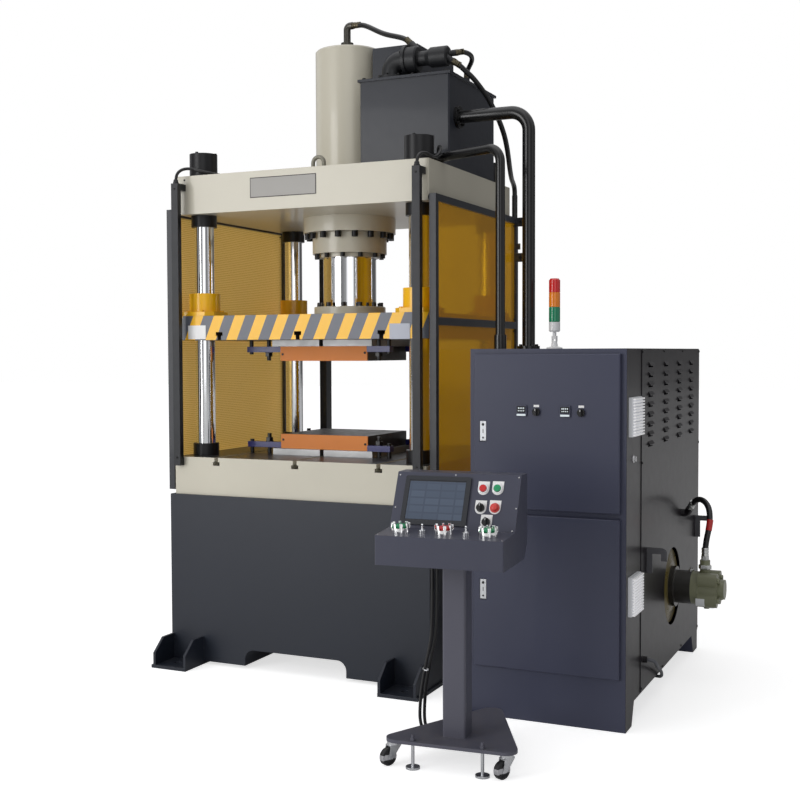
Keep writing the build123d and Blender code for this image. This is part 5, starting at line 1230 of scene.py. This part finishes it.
class PRESS_OT_stage(bpy.types.Operator):
    """Set the pale floor, the soft lights and the camera"""

    bl_idname = "press.stage"
    bl_label = "Studio"

    def execute(self, context):
        studio = context.scene.press_studio
        floor_mesh = bpy.data.meshes.new("studio_floor")
        corners = [(x * FLOOR_HALF, y * FLOOR_HALF, 0) for x, y in ((-1, -1), (1, -1), (1, 1), (-1, 1))]
        floor_mesh.from_pydata(corners, [], [(0, 1, 2, 3)])
        floor = bpy.data.objects.new("studio_floor", floor_mesh)
        context.scene.collection.objects.link(floor)
        floor_mesh.materials.append(self.floor_paint())
        for name, place, aim, width, height, power in (
            ("key_light", (-3.2, -6.6, 2.2), (0.2, -0.4, 1.0), 3.2, 3.6, studio.key_power),
            ("top_light", (0.4, -1.2, 6.2), (0.4, 0, 1.5), 4.5, 3.5, studio.top_power),
            ("fill_light", (6.5, -2.4, 2.8), (0.8, 0, 1.3), 2.4, 3.4, studio.fill_power),
        ):
            lamp = bpy.data.lights.new(name, "AREA")
            lamp.shape = "RECTANGLE"
            lamp.size, lamp.size_y = width, height
            lamp.energy = power
            holder = bpy.data.objects.new(name, lamp)
            context.scene.collection.objects.link(holder)
            holder.location = place
            holder.rotation_euler = (Vector(aim) - Vector(place)).to_track_quat("-Z", "Y").to_euler()
        self.surroundings(context.scene, studio)
        camera = bpy.data.objects.new("camera", bpy.data.cameras.new("camera"))
        context.scene.collection.objects.link(camera)
        camera.data.lens = studio.lens
        camera.data.sensor_width = SENSOR_WIDE
        camera.data.clip_end = FAR_CLIP
        turns = zip(CAMERA_TURNS, "ZXZ")
        turn, tilt, roll = (Matrix.Rotation(math.radians(angle), 4, axis) for angle, axis in turns)
        camera.matrix_world = Matrix.Translation(CAMERA_AT) @ turn @ tilt @ roll
        context.scene.camera = camera
        context.scene.view_settings.view_transform = "Standard"
        return {"FINISHED"}

    def floor_paint(self):
        """A pale floor that the camera sees nearly as white as the backdrop."""
        paint = finish("floor_paint", Look((0.86, 0.86, 0.865), 0.6), variation=0.01, dust=0.0, grain=40.0,
                       bump=0.01)
        net = Net(paint.node_tree)
        shader = net.tree.nodes["Principled BSDF"]
        seen = net.add("ShaderNodeLightPath").outputs["Is Camera Ray"]
        net.link(net.spread(seen, 0.0, 1.0, 0.06, 0.66), shader.inputs["Emission Strength"])
        shader.inputs["Emission Color"].default_value = (1, 1, 1, 1)
        return paint

    def surroundings(self, scene, studio):
        """A white backdrop, light that falls off to the right, and upright bands in reflections."""
        world = bpy.data.worlds.new("studio")
        scene.world = world
        world.use_nodes = True
        net = Net(world.node_tree)
        net.tree.nodes.clear()
        direction = net.add("ShaderNodeTexCoord").outputs["Generated"]
        axes = net.split(direction)
        bearing = net.math("ARCTAN2", axes[0], axes[1])
        turn = net.math("FRACT", net.math("ADD", net.math("DIVIDE", bearing, 2 * math.pi), 0.5))
        bands = net.add("ShaderNodeValToRGB", {0: turn})
        ramp = bands.color_ramp
        for index, (spot, light) in enumerate(BANDS):
            element = ramp.elements[index] if index < 2 else ramp.elements.new(spot)
            element.position = spot
            element.color = (light, light, light * 1.02, 1)
        lifted = net.spread(axes[2], 0.25, 0.8)
        sky = net.mix(lifted, bands.outputs[0], (0.95, 0.95, 0.97, 1))
        lean = net.dot(direction, (-0.62, -0.72, 0.3))
        strength = net.spread(lean, -0.9, 0.9, 0.16 * studio.ambient, 1.4 * studio.ambient)
        mirror, even, white = (
            net.add("ShaderNodeBackground", {0: color, 1: power}).outputs[0]
            for color, power in ((sky, 1.0), ((1, 1, 1, 1), strength), ((1, 1, 1, 1), 1.0))
        )
        path = net.add("ShaderNodeLightPath").outputs
        lit = net.add("ShaderNodeMixShader", {0: path["Is Glossy Ray"], 1: even, 2: mirror}).outputs[0]
        seen = net.add("ShaderNodeMixShader", {0: path["Is Camera Ray"], 1: lit, 2: white}).outputs[0]
        net.add("ShaderNodeOutputWorld", {0: seen})


class PRESS_PT_panel(bpy.types.Panel):
    """Buttons for each group of pieces"""

    bl_idname = "PRESS_PT_panel"
    bl_label = "Hydraulic Press"
    bl_space_type = "VIEW_3D"
    bl_region_type = "UI"
    bl_category = "Press"

    def draw(self, context):
        for name in SETTINGS:
            settings = getattr(context.scene, name)
            box = self.layout.box()
            for key in settings.__annotations__:
                box.prop(settings, key)
        for operator in OPERATORS:
            self.layout.operator(operator.bl_idname)


OPERATORS = (
    PRESS_OT_finishes,
    PRESS_OT_hoses,
    PRESS_OT_hose_ends,
    PRESS_OT_screws,
    PRESS_OT_plates,
    PRESS_OT_cabinet_details,
    PRESS_OT_console_details,
    PRESS_OT_stage,
)
SETTINGS = {"press_paint": PressPaint, "press_sizes": PressSizes, "press_studio": PressStudio}
CLASSES = (*SETTINGS.values(), *OPERATORS, PRESS_PT_panel)


def register():
    for item in CLASSES:
        bpy.utils.register_class(item)
    for name, settings in SETTINGS.items():
        setattr(bpy.types.Scene, name, bpy.props.PointerProperty(type=settings))


def unregister():
    for name in SETTINGS:
        delattr(bpy.types.Scene, name)
    for item in reversed(CLASSES):
        bpy.utils.unregister_class(item)


def main():
    """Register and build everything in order."""
    register()
    for operator in OPERATORS:
        family, name = operator.bl_idname.split(".")
        getattr(getattr(bpy.ops, family), name)()


if __name__ == "__main__":
    main()
